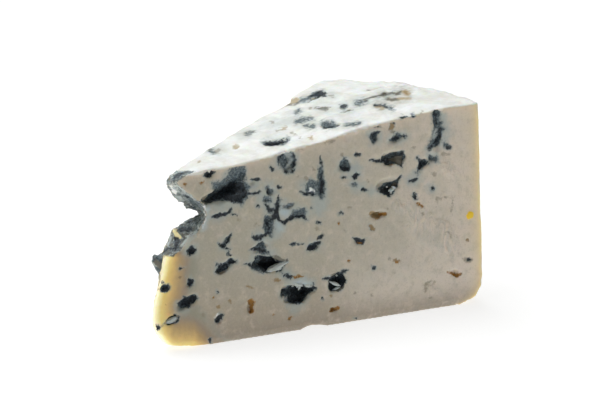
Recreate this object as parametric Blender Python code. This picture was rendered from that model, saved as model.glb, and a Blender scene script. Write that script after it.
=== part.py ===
"""A wedge of blue-veined sheep's milk cheese, modelled as one solid.

The wheel was halved through its height and then cut into wedges, so the wedge has a flat
base (the wheel's outer face), a veined top (the halving cut), two radial cuts and a piece
of the wheel's round side, the rim. It is modelled about the wheel's axis, x = y = 0, in
millimetres, and each finished mesh is scaled to metres. The cut wedge is then moved to the
middle of its own base, which lies on z = 0, with the tip towards -X and the rim towards +X.
"""

import math
import random

import bmesh
import bpy
from mathutils import Matrix, Vector, noise

MM = 0.001

# The wheel and the cuts
WHEEL_RADIUS = 96.0
CUT_ANGLE = math.radians(35.4)
HALF_ANGLE = CUT_ANGLE / 2
RIM_LEAN = 2.6  # the rim stands this much further out at the base than at the top
WEDGE_MIDDLE = 49.8  # distance from the wheel's axis to the middle of the wedge's length
RIM_ROUNDING = 7.5  # radius of the wheel's outer edge, between the rim and the base
BASE_ROUNDING = 0.7  # the edges round the base are worn back by this much
BASE_ROUNDING_HEIGHT = 1.4

# Heights of the halving cut, which wasn't quite level
TIP_HEIGHT = 46.7
NEAR_RISE = 9.0  # from the tip to the rim along the near cut
FAR_DROP = 3.8  # how much lower the far cut's edge ends than the near one's

# The tip, which has crumbled
TIP_TOP = 8.2  # distance from the wheel's axis, high on the tip
TIP_FOOT = 1.6  # and low on it
TIP_LEAN_START = 11.0  # the tip leans back from this height
TIP_LEAN_END = 45.0  # up to this one
TIP_HALF_THICKNESS = 1.5  # it isn't sharp
TIP_HEEL = 4.5  # the lowest corner of the tip is worn back by this much
TIP_HEEL_HEIGHT = 8.0
TIP_NOSE = 2.0  # how far its edges lie behind its middle, which rounds it in plan
TIP_WEAR = 2.4  # and how far its top is worn down, and its far top corner once more
CORNER_REACH = 14.0  # how gently that corner's wear fades along the far cut
TIP_LIFT = 1.5  # and how far its underside is worn up

# How finely the wedge is divided: along it, across it and up it
CELLS = (26, 9, 15)
LAYER_CROWDING = 1.25  # over 1 draws the layers down towards the rounded edge

# Unevenness of the cut faces and of the rim
CUT_RELIEF = 0.22
RIM_RELIEF = 0.55
RELIEF_SCALE = 11.0

# Hollows in the near cut: distance from the wheel's axis, height, width, height of the
# hollow, depth, and how far its right end is turned up in degrees
NEAR_HOLLOWS = {
    "great_vein": (22.0, 40.9, 13.4, 4.2, 3.0, 18),
    "great_vein_crest": (25.6, 43.9, 4.8, 3.6, 1.4, 35),
    "great_vein_tail": (29.6, 42.0, 5.0, 1.2, 0.8, -2),
    "top_oval": (17.6, 45.6, 3.7, 1.7, 1.2, 22),
    "round_vein": (39.5, 46.4, 5.2, 5.0, 1.5, 0),
    "upright_vein": (49.2, 40.6, 1.6, 11.0, 1.4, 0),
    "middle_blot": (55.9, 43.4, 4.4, 3.2, 1.5, 25),
    "upper_blot": (65.1, 49.8, 2.6, 3.6, 1.3, -20),
    "wavy_vein": (71.3, 48.6, 5.4, 2.0, 1.3, 18),
    "fish_hollow": (70.4, 43.4, 8.4, 3.8, 2.6, 8),
    "fish_tail": (65.6, 43.9, 4.4, 1.2, 1.0, 0),
    "dark_corner": (79.6, 41.0, 4.2, 2.8, 2.0, 48),
    "rim_vein_top": (83.2, 52.6, 2.3, 6.6, 1.4, 6),
    "rim_vein": (83.8, 46.8, 2.5, 6.0, 1.6, -4),
    "rim_vein_tail": (82.1, 42.2, 2.7, 2.8, 1.2, 20),
    "crumb_hollow": (69.2, 36.0, 7.2, 3.7, 2.8, -6),
    "ochre_hollow": (65.8, 28.7, 5.2, 2.1, 2.0, -4),
    "half_moon": (60.3, 22.2, 3.2, 1.4, 1.2, -8),
    "amber_half_moon": (89.7, 9.3, 3.6, 1.7, 1.4, -12),
    "sliver_hollow": (33.8, 19.7, 11.0, 4.0, 3.0, -18),
    "crumbly_hollow": (42.5, 10.4, 10.2, 4.6, 3.6, -4),
    "flake_hollow": (54.0, 11.8, 5.6, 4.4, 3.0, 40),
    "lower_blot": (47.1, 22.7, 4.0, 2.1, 1.5, 10),
    "slanted_bar": (21.8, 20.6, 7.8, 2.3, 1.6, 34),
    "forked_vein": (21.6, 27.2, 4.8, 1.6, 1.0, 44),
    "knot_top": (34.8, 38.8, 2.6, 2.2, 0.9, 0),
    "knot_column": (33.9, 30.6, 2.6, 5.4, 0.9, 0),
    "knot_block": (42.3, 32.0, 4.0, 2.0, 0.9, 0),
    "knot_foot": (31.6, 24.3, 5.0, 2.6, 1.0, 12),
    "tip_spot": (11.9, 26.3, 2.8, 1.9, 1.2, 18),
    "tip_upright": (11.4, 17.8, 1.9, 3.2, 1.1, 0),
    "tip_oval": (4.2, 17.2, 3.2, 2.0, 1.4, 12),
    "tip_long": (10.4, 12.6, 6.6, 2.8, 1.8, 26),
    "lens": (6.2, 8.6, 4.6, 2.2, 1.4, 20),
    "olive_pit": (19.7, 6.4, 3.2, 1.8, 1.6, 50),
    "amber_upright": (28.7, 8.8, 2.2, 4.2, 1.8, 0),
    "base_pit": (53.0, 4.4, 3.2, 1.8, 1.8, -4),
    "base_nick": (47.6, 0.0, 8.0, 1.8, 3.0, 4),
    "pale_pit": (76.9, 32.4, 1.3, 2.2, 0.9, 0),
}

# Hollows in the top: x, y, length, width, depth, and the turn of its length from +X
TOP_HOLLOWS = {
    "black_hole": (41.0, -4.0, 7.6, 4.2, 3.4, -66),
    "blue_round": (56.5, -8.7, 6.0, 4.4, 1.3, -60),
    "ledge_streak": (73.0, 14.3, 9.6, 1.6, 1.2, 8),
    "ledge_hole": (77.0, 15.2, 2.8, 2.0, 2.6, 0),
    "black_dot": (69.8, -0.7, 2.4, 1.7, 1.6, -50),
    "rim_dent": (84.8, -2.2, 11.0, 4.4, 1.2, 42),
    "rim_scoop": (88.5, 5.6, 8.0, 3.2, 1.0, -20),
    "near_slot": (74.4, -10.0, 3.8, 1.2, 0.9, -64),
}

# Hollows that a seeded draw scatters over the other sides
FAR_HOLLOWS = 24
RIM_HOLLOWS = 7
BASE_HOLLOWS = 6
HOLLOW_GAP = 1.5  # clear cheese between two of them
FINE_HOLLOWS = (4.5, 8.0)  # a hollow wider than each of these gets a finer cutter

# The fracture at the tip, a V lying on its side with a bend in either lip: x and z of its
# root, of the upper lip's bend and end and of the lower lip's end and bend, in an upright
# section outside the near cut and in one outside the far cut
FRACTURE_NEAR_Y = -10.0
FRACTURE_NEAR = ((11.4, 38.3), (7.9, 45.2), (-4.0, 58.0), (-4.0, 18.6), (14.0, 30.9))
FRACTURE_FAR_Y = 12.0
FRACTURE_FAR = ((30.6, 28.5), (16.6, 33.1), (-4.0, 59.3), (-4.0, 13.8), (10.2, 29.8))
FRACTURE_STEPS = 9  # how finely it is divided between the sections
FRACTURE_CUTS = 9  # and along the lips
FRACTURE_ROUGHNESS = 0.7

# The mouldy crag that stands out of the far side of the tip, below the fracture
CRAG_PLACE = (5.8, 2.2, 22.8)
CRAG_SIZE = (4.8, 3.4, 5.2)
CRAG_TURN = math.radians(24)
CRAG_UNDERCUT = 0.9  # how far its foot lies back, for its height

# The chip along the far top edge, which ends in a step near the rim
CHIP_START = 40.0
CHIP_END = 77.0
CHIP_START_HEIGHT = 48.2
CHIP_END_HEIGHT = 49.5
CHIP_WIDTH = 6.0


def smoothstep(low, high, value):
    share = min(max((value - low) / (high - low), 0.0), 1.0)
    return share * share * (3 - 2 * share)


def top_height(x, y):
    """Height of the halving cut over a point of the base."""
    distance = math.hypot(x, y)
    across = 0.5 + 0.5 * math.atan2(y, max(x, 1.0)) / HALF_ANGLE
    near = TIP_HEIGHT + NEAR_RISE * smoothstep(10, 92, distance)
    worn_tip = TIP_WEAR * (1 - smoothstep(5, 11, distance))
    worn_corner = TIP_WEAR * across**2 * math.exp(-max(distance - TIP_TOP, 0) / CORNER_REACH)
    far_drop = FAR_DROP * smoothstep(18, 76, distance) * across**2
    return near - worn_tip - worn_corner - far_drop


def rim_distance(z):
    """Distance of the rim from the wheel's axis, with its lean and its rounded lower edge."""
    lean = RIM_LEAN * (1 - z / (TIP_HEIGHT + NEAR_RISE))
    below = max(RIM_ROUNDING - z, 0.0)
    return WHEEL_RADIUS + lean - RIM_ROUNDING + math.sqrt(RIM_ROUNDING**2 - below**2)


def tip_distance(z):
    """Distance of the crumbled tip from the wheel's axis."""
    heel = TIP_HEEL * max(1 - z / TIP_HEEL_HEIGHT, 0.0) ** 2
    lean = min(max((z - TIP_LEAN_START) / (TIP_LEAN_END - TIP_LEAN_START), 0.0), 1.0)
    return TIP_FOOT + (TIP_TOP - TIP_FOOT) * math.sin(lean * math.pi / 2) + heel


def half_width(x, z):
    """Distance of either radial cut from the middle plane."""
    worn = BASE_ROUNDING * max(1 - z / BASE_ROUNDING_HEIGHT, 0.0) ** 2
    return math.hypot(x * math.tan(HALF_ANGLE), TIP_HALF_THICKNESS) - worn


def relief(point, amount, layer):
    """A slow unevenness, different for each layer number."""
    return amount * noise.noise(point / RELIEF_SCALE + Vector((0, 0, 7.3 * layer)))


def wedge_point(along, side, up):
    """Moves a point of the block (along 0 to 1, side -1 to 1, up 0 to 1) onto the wedge."""
    level = up**LAYER_CROWDING
    z = level * (TIP_HEIGHT + NEAR_RISE * smoothstep(0.05, 0.95, along))
    rim = rim_distance(z) * math.cos(side * HALF_ANGLE)
    nose = TIP_NOSE * (1 - math.sqrt(1 - 0.9 * side**2))
    x = (tip_distance(z) + nose) * (1 - along) + rim * along
    y = side * half_width(x, z)
    rough = Vector((x, y, z))
    x += relief(rough, RIM_RELIEF, 1) * along**6 * min(up * 4, 1)
    y += side * relief(rough, CUT_RELIEF, 2 + side) * min(up * 4, 1)
    top = top_height(x, y) + relief(rough, CUT_RELIEF, 5)
    bottom = TIP_LIFT * (1 - smoothstep(3, 16, x))
    z = bottom * (1 - level) + top * level
    return Vector((x, y, z))


def make_object(name, bm, collection):
    bmesh.ops.scale(bm, vec=(MM, MM, MM), verts=bm.verts)
    bmesh.ops.recalc_face_normals(bm, faces=bm.faces)
    mesh = bpy.data.meshes.new(name)
    bm.to_mesh(mesh)
    bm.free()
    made = bpy.data.objects.new(name, mesh)
    collection.objects.link(made)
    return made


def make_wedge(collection):
    """The bare wedge: a divided block whose points are moved onto the wedge."""
    bm = bmesh.new()
    bmesh.ops.create_cube(bm, size=1.0)
    for axis, cells in enumerate(CELLS):
        lengthwise = [
            edge for edge in bm.edges
            if abs((edge.verts[0].co - edge.verts[1].co).normalized()[axis]) > 0.9
        ]
        bmesh.ops.subdivide_edges(bm, edges=lengthwise, cuts=cells - 1, use_grid_fill=True)
    for vert in bm.verts:
        vert.co = wedge_point(vert.co.x + 0.5, 2 * vert.co.y, vert.co.z + 0.5)
    bmesh.ops.triangulate(bm, faces=bm.faces)
    return make_object("cheese", bm, collection)


def make_hollow(name, place, size, turn, seed, collection):
    """A lumpy ellipsoid that cuts one hollow. Its third size is twice the hollow's depth."""
    fineness = 1 + sum(max(size) > limit for limit in FINE_HOLLOWS)
    bm = bmesh.new()
    bmesh.ops.create_icosphere(bm, subdivisions=fineness, radius=0.5)
    for vert in bm.verts:
        spot = vert.co + Vector((seed * 1.7, 0, 0))
        vert.co *= 1 + 0.6 * noise.noise(spot * 3.7) + 0.3 * noise.noise(spot * 9.1)
    shape = Matrix.Rotation(turn, 4, "Z") @ Matrix.Diagonal((*size, 1))
    bmesh.ops.transform(bm, matrix=place @ shape, verts=bm.verts)
    return make_object(name, bm, collection)


def cut_place(side, distance, z):
    """A frame on a radial cut: X along it from the tip, Y up, Z out of the cheese."""
    along = Vector((math.cos(HALF_ANGLE), side * math.sin(HALF_ANGLE), 0))
    out = Vector((-math.sin(HALF_ANGLE), side * math.cos(HALF_ANGLE), 0))
    up = Vector((0, 0, 1))
    return frame_at(along * distance + up * z, along, up, out)


def rim_place(angle, z):
    """A frame on the rim: X round the wheel, Y up, Z out of the cheese."""
    out = Vector((math.cos(angle), math.sin(angle), 0))
    up = Vector((0, 0, 1))
    return frame_at(out * rim_distance(z) + up * z, up.cross(out), up, out)


def frame_at(origin, x_axis, y_axis, z_axis):
    columns = Matrix((x_axis, y_axis, z_axis)).transposed().to_4x4()
    return Matrix.Translation(origin) @ columns


def make_near_hollows(collection):
    for seed, (name, hollow) in enumerate(NEAR_HOLLOWS.items()):
        distance, z, wide, tall, deep, lean = hollow
        make_hollow(
            name, cut_place(-1, distance, z), (wide, tall, 2 * deep),
            math.radians(lean), seed, collection,
        )


def make_top_hollows(collection):
    for seed, (name, hollow) in enumerate(TOP_HOLLOWS.items(), 50):
        x, y, long, wide, deep, turn = hollow
        place = Matrix.Translation((x, y, top_height(x, y)))
        make_hollow(name, place, (long, wide, 2 * deep), math.radians(turn), seed, collection)


def scatter(count, draw, spots):
    """Draws hollows until count of them lie clear of each other: (a, b, size) each."""
    kept = []
    while len(kept) < count:
        a, b = spots()
        size = 2.0 + 7.0 * draw.random() ** 2.2
        clear = all(
            math.hypot(a - other[0], b - other[1]) > (size + other[2]) / 2 + HOLLOW_GAP
            for other in kept
        )
        if clear:
            kept.append((a, b, size))
    return kept


def make_far_hollows(collection):
    draw = random.Random(11)

    def spots():
        distance = draw.uniform(9, 91)
        return distance, draw.uniform(4, top_height(distance, distance * 0.3) - 3)

    for index, (distance, z, size) in enumerate(scatter(FAR_HOLLOWS, draw, spots)):
        make_hollow(
            f"far_hollow_{index}", cut_place(1, distance, z),
            (size, size * draw.uniform(0.35, 0.8), size * draw.uniform(0.4, 0.75)),
            draw.uniform(-0.8, 0.8), 70 + index, collection,
        )


def make_rim_hollows(collection):
    draw = random.Random(23)

    def spots():
        return draw.uniform(-26, 26), draw.uniform(11, 49)

    for index, (round_rim, z, size) in enumerate(scatter(RIM_HOLLOWS, draw, spots)):
        place = rim_place(round_rim / WHEEL_RADIUS, z)
        shape = (size * 0.8, size * draw.uniform(0.3, 0.6), size * 0.4)
        make_hollow(
            f"rim_hollow_{index}", place, shape, draw.uniform(-0.6, 0.6), 100 + index, collection
        )


def make_base_hollows(collection):
    draw = random.Random(31)

    def spots():
        x = draw.uniform(28, 84)
        return x, draw.uniform(-0.24, 0.24) * x

    for index, (x, y, size) in enumerate(scatter(BASE_HOLLOWS, draw, spots)):
        make_hollow(
            f"base_hollow_{index}", Matrix.Translation((x, y, 0)),
            (size * 0.7, size * 0.45, size * 0.45), draw.uniform(0, 3), 120 + index, collection,
        )


def make_fracture(collection):
    """The V that has broken out of the tip: upright sections joined, then roughened."""
    bm = bmesh.new()
    rings = []
    for step in range(FRACTURE_STEPS + 1):
        share = step / FRACTURE_STEPS
        y = FRACTURE_NEAR_Y + (FRACTURE_FAR_Y - FRACTURE_NEAR_Y) * share
        section = [
            Vector(near).lerp(Vector(far), share)
            for near, far in zip(FRACTURE_NEAR, FRACTURE_FAR)
        ]
        rings.append([bm.verts.new((corner.x, y, corner.y)) for corner in section])
    for ring, following in zip(rings, rings[1:]):
        for here in range(len(ring)):
            bm.faces.new((ring[here - 1], ring[here], following[here], following[here - 1]))
    bm.faces.new(rings[0])
    bm.faces.new(rings[-1])
    across = [edge for edge in bm.edges if abs(edge.verts[0].co.y - edge.verts[1].co.y) < 0.1]
    bmesh.ops.subdivide_edges(bm, edges=across, cuts=FRACTURE_CUTS, use_grid_fill=True)
    for vert in bm.verts:
        rough = noise.noise_vector(vert.co / 2.6) + 0.5 * noise.noise_vector(vert.co / 1.1)
        vert.co += FRACTURE_ROUGHNESS * rough
    bmesh.ops.triangulate(bm, faces=bm.faces)
    return make_object("fracture", bm, collection)


def make_chip(collection):
    """A long block over the far top edge, whose foot slopes down outwards."""
    bm = bmesh.new()
    bmesh.ops.create_cube(bm, size=1.0)
    for vert in bm.verts:
        end, outer, upper = (vert.co.x > 0, vert.co.y > 0, vert.co.z > 0)
        distance = CHIP_END if end else CHIP_START
        foot = CHIP_END_HEIGHT if end else CHIP_START_HEIGHT
        inwards = -4.0 if outer else CHIP_WIDTH
        rise = 8.0 if upper else (-1.5 if outer else 2.6)
        vert.co = cut_place(1, distance, foot + rise) @ Vector((0, 0, -inwards))
    bmesh.ops.subdivide_edges(bm, edges=bm.edges, cuts=5, use_grid_fill=True)
    for vert in bm.verts:
        vert.co += 0.5 * noise.noise_vector(vert.co / 4.0)
    bmesh.ops.triangulate(bm, faces=bm.faces)
    return make_object("chip", bm, collection)


def make_crag(collection):
    """A lumpy ellipsoid of cheese that is fused to the tip, undercut at its foot."""
    bm = bmesh.new()
    bmesh.ops.create_icosphere(bm, subdivisions=2, radius=0.5)
    for vert in bm.verts:
        vert.co *= 1 + 0.5 * noise.noise(vert.co * 2.4 + Vector((3.1, 0, 0)))
        vert.co.x += CRAG_UNDERCUT * max(-vert.co.z, 0)
    shape = Matrix.Rotation(CRAG_TURN, 4, "Y") @ Matrix.Diagonal((*CRAG_SIZE, 1))
    bmesh.ops.transform(bm, matrix=Matrix.Translation(CRAG_PLACE) @ shape, verts=bm.verts)
    return make_object("crag", bm, collection)


def make_cheese_material():
    material = bpy.data.materials.new("cheese_paste")
    material.use_nodes = True
    shader = material.node_tree.nodes["Principled BSDF"]
    shader.inputs["Base Color"].default_value = (0.80, 0.74, 0.62, 1)
    shader.inputs["Roughness"].default_value = 0.55
    shader.inputs["Metallic"].default_value = 0.0
    return material


def add_boolean(target, name, operation, collection):
    boolean = target.modifiers.new(name, "BOOLEAN")
    boolean.operation = operation
    boolean.operand_type = "COLLECTION"
    boolean.collection = collection
    boolean.solver = "EXACT"


def piece_of(vert, found):
    """All the points joined to this one, which are added to those already found."""
    piece = []
    waiting = [vert]
    found.add(vert)
    while waiting:
        point = waiting.pop()
        piece.append(point)
        for edge in point.link_edges:
            other = edge.other_vert(point)
            if other not in found:
                found.add(other)
                waiting.append(other)
    return piece


def apply_booleans(cheese):
    """Makes the cuts final, drops loose scraps and moves the wedge to its own middle."""
    graph = bpy.context.evaluated_depsgraph_get()
    mesh = bpy.data.meshes.new_from_object(cheese.evaluated_get(graph))
    cheese.modifiers.clear()
    cheese.data = mesh
    bm = bmesh.new()
    bm.from_mesh(mesh)
    found = set()
    pieces = [piece_of(vert, found) for vert in bm.verts if vert not in found]
    wedge = max(pieces, key=len)
    scraps = [vert for piece in pieces if piece is not wedge for vert in piece]
    bmesh.ops.delete(bm, geom=scraps, context="VERTS")
    bmesh.ops.translate(bm, vec=(-WEDGE_MIDDLE * MM, 0, 0), verts=bm.verts)
    bm.to_mesh(mesh)
    bm.free()


def new_collection(name):
    made = bpy.data.collections.new(name)
    bpy.context.scene.collection.children.link(made)
    return made


def main():
    for old in list(bpy.data.objects):
        bpy.data.objects.remove(old)

    cheese = make_wedge(bpy.context.scene.collection)
    cheese.data.materials.append(make_cheese_material())

    added = new_collection("added")
    make_crag(added)
    cutters = new_collection("cutters")
    make_fracture(cutters)
    make_chip(cutters)
    make_near_hollows(cutters)
    make_top_hollows(cutters)
    make_far_hollows(cutters)
    make_rim_hollows(cutters)
    make_base_hollows(cutters)

    add_boolean(cheese, "hollows", "DIFFERENCE", cutters)
    add_boolean(cheese, "crag", "UNION", added)

    apply_booleans(cheese)
    for helper in [*added.objects, *cutters.objects]:
        bpy.data.objects.remove(helper)


main()
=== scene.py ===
import math
import random

import bmesh
import bpy
import numpy as np
from mathutils import Matrix, Vector, noise


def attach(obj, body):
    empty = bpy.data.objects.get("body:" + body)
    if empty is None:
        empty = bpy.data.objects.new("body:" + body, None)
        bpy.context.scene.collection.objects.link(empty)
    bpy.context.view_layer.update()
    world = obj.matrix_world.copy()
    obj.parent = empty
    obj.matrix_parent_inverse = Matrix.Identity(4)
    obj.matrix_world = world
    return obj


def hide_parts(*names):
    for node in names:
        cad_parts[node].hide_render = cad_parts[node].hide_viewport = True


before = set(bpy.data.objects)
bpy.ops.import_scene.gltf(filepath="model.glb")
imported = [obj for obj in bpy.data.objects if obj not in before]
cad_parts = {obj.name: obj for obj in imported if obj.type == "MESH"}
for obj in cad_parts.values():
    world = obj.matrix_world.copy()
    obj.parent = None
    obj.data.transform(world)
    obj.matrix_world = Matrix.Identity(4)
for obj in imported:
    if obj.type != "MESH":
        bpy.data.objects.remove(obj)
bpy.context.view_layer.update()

# ---------------------------------------------------------------------------------------
# The camera
# It stands well back with a long lens, a little above the wedge and to the left of its near
# cut. Marks on the cheese are placed where the photograph shows them from here.

PHOTO_WIDTH, PHOTO_HEIGHT = 611, 408
FOCAL_PIXELS = 2920.0
SENSOR = 36.0
NEAREST_SEEN = 0.01
AZIMUTH = math.radians(-44.7)
ELEVATION = math.radians(15.8)
STAND = Vector((-0.51925, -0.53101, 0.24035))

to_camera = Vector((
    math.sin(AZIMUTH) * math.cos(ELEVATION),
    -math.cos(AZIMUTH) * math.cos(ELEVATION),
    math.sin(ELEVATION),
))
camera_right = Vector((math.cos(AZIMUTH), math.sin(AZIMUTH), 0))
camera_up = to_camera.cross(camera_right)

camera_data = bpy.data.cameras.new("camera")
camera_data.sensor_width = SENSOR
camera_data.lens = FOCAL_PIXELS * SENSOR / PHOTO_WIDTH
camera_data.clip_start = NEAREST_SEEN
camera = bpy.data.objects.new("camera", camera_data)
turn = Matrix((camera_right, camera_up, to_camera)).transposed().to_4x4()
camera.matrix_world = Matrix.Translation(STAND) @ turn
bpy.context.scene.collection.objects.link(camera)
bpy.context.scene.camera = camera


def seen_at(places):
    """Pixels, across and down the photograph, at which points of the frame are seen."""
    offsets = np.asarray(places) - np.array(STAND)
    ahead = -(offsets @ np.array(to_camera))
    across = PHOTO_WIDTH / 2 + FOCAL_PIXELS * (offsets @ np.array(camera_right)) / ahead
    down = PHOTO_HEIGHT / 2 - FOCAL_PIXELS * (offsets @ np.array(camera_up)) / ahead
    return across, down


# ---------------------------------------------------------------------------------------
# The wedge of paste
# Soft, moist sheep's milk curd, cut from a halved wheel with a wire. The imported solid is
# divided finely enough for its crumb and softened here, and its hollows, the broken jaws of
# its tip and its cut faces are told apart, to be coloured and roughened further down.

MM = 0.001  # all sizes below are in millimetres, about the wheel's axis
AXIS_X = -49.8  # where that axis stands in the frame
WHEEL_RADIUS = 96.0
HALF_ANGLE = math.radians(17.7)
COS_HALF, SIN_HALF = math.cos(HALF_ANGLE), math.sin(HALF_ANGLE)
RIM_LEAN, RIM_ROUNDING = 2.6, 7.5
BASE_ROUNDING, BASE_ROUNDING_HEIGHT = 0.7, 1.4
TIP_HEIGHT, NEAR_RISE, FAR_DROP = 46.7, 9.0, 3.8  # of the halving cut
TOP_AT_RIM = TIP_HEIGHT + NEAR_RISE
TIP_FOOT, TIP_TOP = 1.6, 8.2  # the tip's distance from the axis, low and high
TIP_LEAN_START, TIP_LEAN_END = 11.0, 45.0  # heights between which it leans back
TIP_HALF_THICKNESS, TIP_NOSE = 1.5, 2.0
TIP_HEEL, TIP_HEEL_HEIGHT = 4.5, 8.0
TIP_WEAR, CORNER_REACH, TIP_LIFT = 2.4, 14.0, 1.5
CHIP_START, CHIP_END, CHIP_WIDTH, CHIP_HEIGHT = 34, 82, 7.5, 6
NEAR_WALLS, FAR_WALLS, TOP_WALLS, RIM_WALLS = 4.2, 3.6, 4.5, 2.5  # depths of their hollows
TOP_FROM = 40  # no part of the top lies lower
DIVISION = 0.485  # size of the finest crumb that the mesh holds
MERGED = 0.002  # corners of the solid's triangles that are closer than this are one
ROUNDED_WITHIN = (0.35, 0.8)  # how far off the true round a facet may lie to be drawn onto it
HOLLOW_DEPTH = (0.25, 0.7)  # how deep below the faces a hollow begins, and is one for certain
SEEDS_APART = 7.31  # how far apart, in lumps, the noise of two seeds is read
SKIN = 0.2  # a chip or a dent counts as no deeper than this


def smoothstep(low, high, value):
    share = np.clip((value - low) / (high - low), 0.0, 1.0)
    return share * share * (3 - 2 * share)


def about_axis(corners):
    """Points of the frame, in metres, as millimetres about the wheel's axis."""
    return np.asarray(corners, float) / MM - np.array([AXIS_X, 0.0, 0.0])


def top_height(x, y):
    """Height of the halving cut, which rises to the rim and falls to the far cut."""
    distance = np.hypot(x, y)
    across = 0.5 + 0.5 * np.arctan2(y, np.maximum(x, 1.0)) / HALF_ANGLE
    near = TIP_HEIGHT + NEAR_RISE * smoothstep(10, 92, distance)
    corner = across**2 * np.exp(-np.maximum(distance - TIP_TOP, 0) / CORNER_REACH)
    worn = 1 - smoothstep(5, 11, distance) + corner
    return near - TIP_WEAR * worn - FAR_DROP * smoothstep(18, 76, distance) * across**2


def rounding_middle(z):
    """Distance from the axis to the middle of the rim's rounding, were it at that height."""
    return WHEEL_RADIUS + RIM_LEAN * (1 - z / TOP_AT_RIM) - RIM_ROUNDING


def read_vectors(mesh, name):
    """Each vertex's place, "co", or its "normal"."""
    values = np.empty(len(mesh.vertices) * 3)
    mesh.vertices.foreach_get(name, values)
    return values.reshape(-1, 3)


def lumps(points, size, seed):
    """Smooth noise from -1 to 1 whose lumps are about that size, one number a point."""
    places = (points / size + seed * SEEDS_APART).tolist()
    return np.array([noise.noise(place) for place in places])


def segment_distance(across, up, start, end):
    """Distance from points (across, up) to a straight line between two points."""
    run_across, run_up = end[0] - start[0], end[1] - start[1]
    length = np.maximum(run_across**2 + run_up**2, 1e-9)
    share = ((across - start[0]) * run_across + (up - start[1]) * run_up) / length
    share = np.clip(share, 0, 1)
    return np.hypot(across - start[0] - share * run_across, up - start[1] - share * run_up)


def rework(mesh, operator, **settings):
    """Runs a bmesh operator on all of a mesh's vertices."""
    bm = bmesh.new()
    bm.from_mesh(mesh)
    operator(bm, verts=bm.verts, **settings)
    bm.to_mesh(mesh)
    bm.free()


solid_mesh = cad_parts["cheese"].data.copy()
rework(solid_mesh, bmesh.ops.remove_doubles, dist=MERGED * MM)
wedge = bpy.data.objects.new("cheese_wedge", solid_mesh)
bpy.context.scene.collection.objects.link(wedge)
divider = wedge.modifiers.new("division", "REMESH")
divider.mode = "VOXEL"
divider.voxel_size = DIVISION * MM
graph = bpy.context.evaluated_depsgraph_get()
wedge_mesh = bpy.data.meshes.new_from_object(wedge.evaluated_get(graph))
wedge_mesh.name = "cheese_wedge"
wedge.modifiers.clear()
wedge.data = wedge_mesh
bpy.data.meshes.remove(solid_mesh)
every_way = {"use_axis_x": True, "use_axis_y": True, "use_axis_z": True}
rework(wedge_mesh, bmesh.ops.smooth_vert, factor=0.5, **every_way)

seen_across, seen_down = seen_at(read_vectors(wedge_mesh, "co"))
points = about_axis(read_vectors(wedge_mesh, "co"))

# The solid's rounding is faceted: points just off the rim are drawn onto its true round
out = np.hypot(points[:, 0], points[:, 1])
over = out - rounding_middle(points[:, 2])
under = np.minimum(points[:, 2] - RIM_ROUNDING, 0)
off_rim = np.hypot(over, under) - RIM_ROUNDING
pull = off_rim * (1 - smoothstep(*ROUNDED_WITHIN, np.abs(off_rim))) * (over > 0)
points[:, :2] *= (1 - pull * over / (off_rim + RIM_ROUNDING) / out)[:, None]
points[:, 2] -= pull * under / (off_rim + RIM_ROUNDING)
x, y, z = points.T

# How far inside each face of the unbroken wedge a point lies
lift = TIP_LIFT * (1 - smoothstep(3, 16, x))
level = (z - lift) / (1 - lift / TOP_AT_RIM)
half_width = np.hypot(x * math.tan(HALF_ANGLE), TIP_HALF_THICKNESS)
half_width = half_width - BASE_ROUNDING * np.maximum(1 - level / BASE_ROUNDING_HEIGHT, 0) ** 2
inside_near = (y + half_width) * COS_HALF
inside_far = (half_width - y) * COS_HALF
inside_top = top_height(x, y) - z
below_rounding = np.maximum(RIM_ROUNDING - z, 0)
rim_at = rounding_middle(z) + np.sqrt(np.maximum(RIM_ROUNDING**2 - below_rounding**2, 0))
inside_rim = rim_at - np.hypot(x, y)
leaning = np.clip((level - TIP_LEAN_START) / (TIP_LEAN_END - TIP_LEAN_START), 0, 1)
heel = TIP_HEEL * np.maximum(1 - level / TIP_HEEL_HEIGHT, 0) ** 2
tip_at = TIP_FOOT + (TIP_TOP - TIP_FOOT) * np.sin(leaning * math.pi / 2) + heel
off_middle = np.minimum(np.abs(y) / half_width, 1)
nose = TIP_NOSE * (1 - np.sqrt(np.maximum(1 - 0.9 * off_middle**2, 0)))
inside_tip = x - tip_at - nose
faces = (inside_near, inside_far, inside_top, inside_rim, z - lift, inside_tip)
depth = np.minimum.reduce(faces)
on_top_face = inside_top < 0.5
near_side = (inside_near < NEAR_WALLS) & (inside_near < inside_far) & ~on_top_face
top_side = (inside_top < TOP_WALLS) & ~near_side & (z > TOP_FROM)

# The jaws of the fracture: the nearer of its two bent lips, in the upright section that
# runs through each point, with the worn nose over them and the crag under them
JAW_NEAR_Y, JAW_FAR_Y = -10.0, 12.0
JAW_NEAR = ((-4.0, 58.0), (7.9, 45.2), (11.4, 38.3), (14.0, 30.9), (-4.0, 18.6))
JAW_FAR = ((-4.0, 59.3), (16.6, 33.1), (30.6, 28.5), (10.2, 29.8), (-4.0, 13.8))
JAW_REACH = (1.0, 1.9)  # how far from the lips the broken curd begins to end, and has ended
JAW_FOOT = (24.2, 26.2)  # heights between which the lower jaw begins
CRAG_PLACE, CRAG_SIZE = (4.6, 1.6, 23.0), (3.2, 3.0, 3.4)
CRAG_EDGE, CRAG_EDGE_DOWN = (164.6, 162.8), 253  # pixels across at that pixel down, and
CRAG_EDGE_SLANT = 0.15  # this much less for each pixel below it
NOSE_BACK, NOSE_FOOT = 24, 34
NOSE = (  # the pixels round it
    (150, 150), (170, 170.6), (180, 170.8), (192, 171.2), (197, 171.6), (188, 174.8),
    (181.4, 177.2), (177.2, 182.8), (184, 192), (192, 197), (199.6, 201.2), (204.6, 206.4),
    (204, 214), (150, 214),
)


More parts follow.
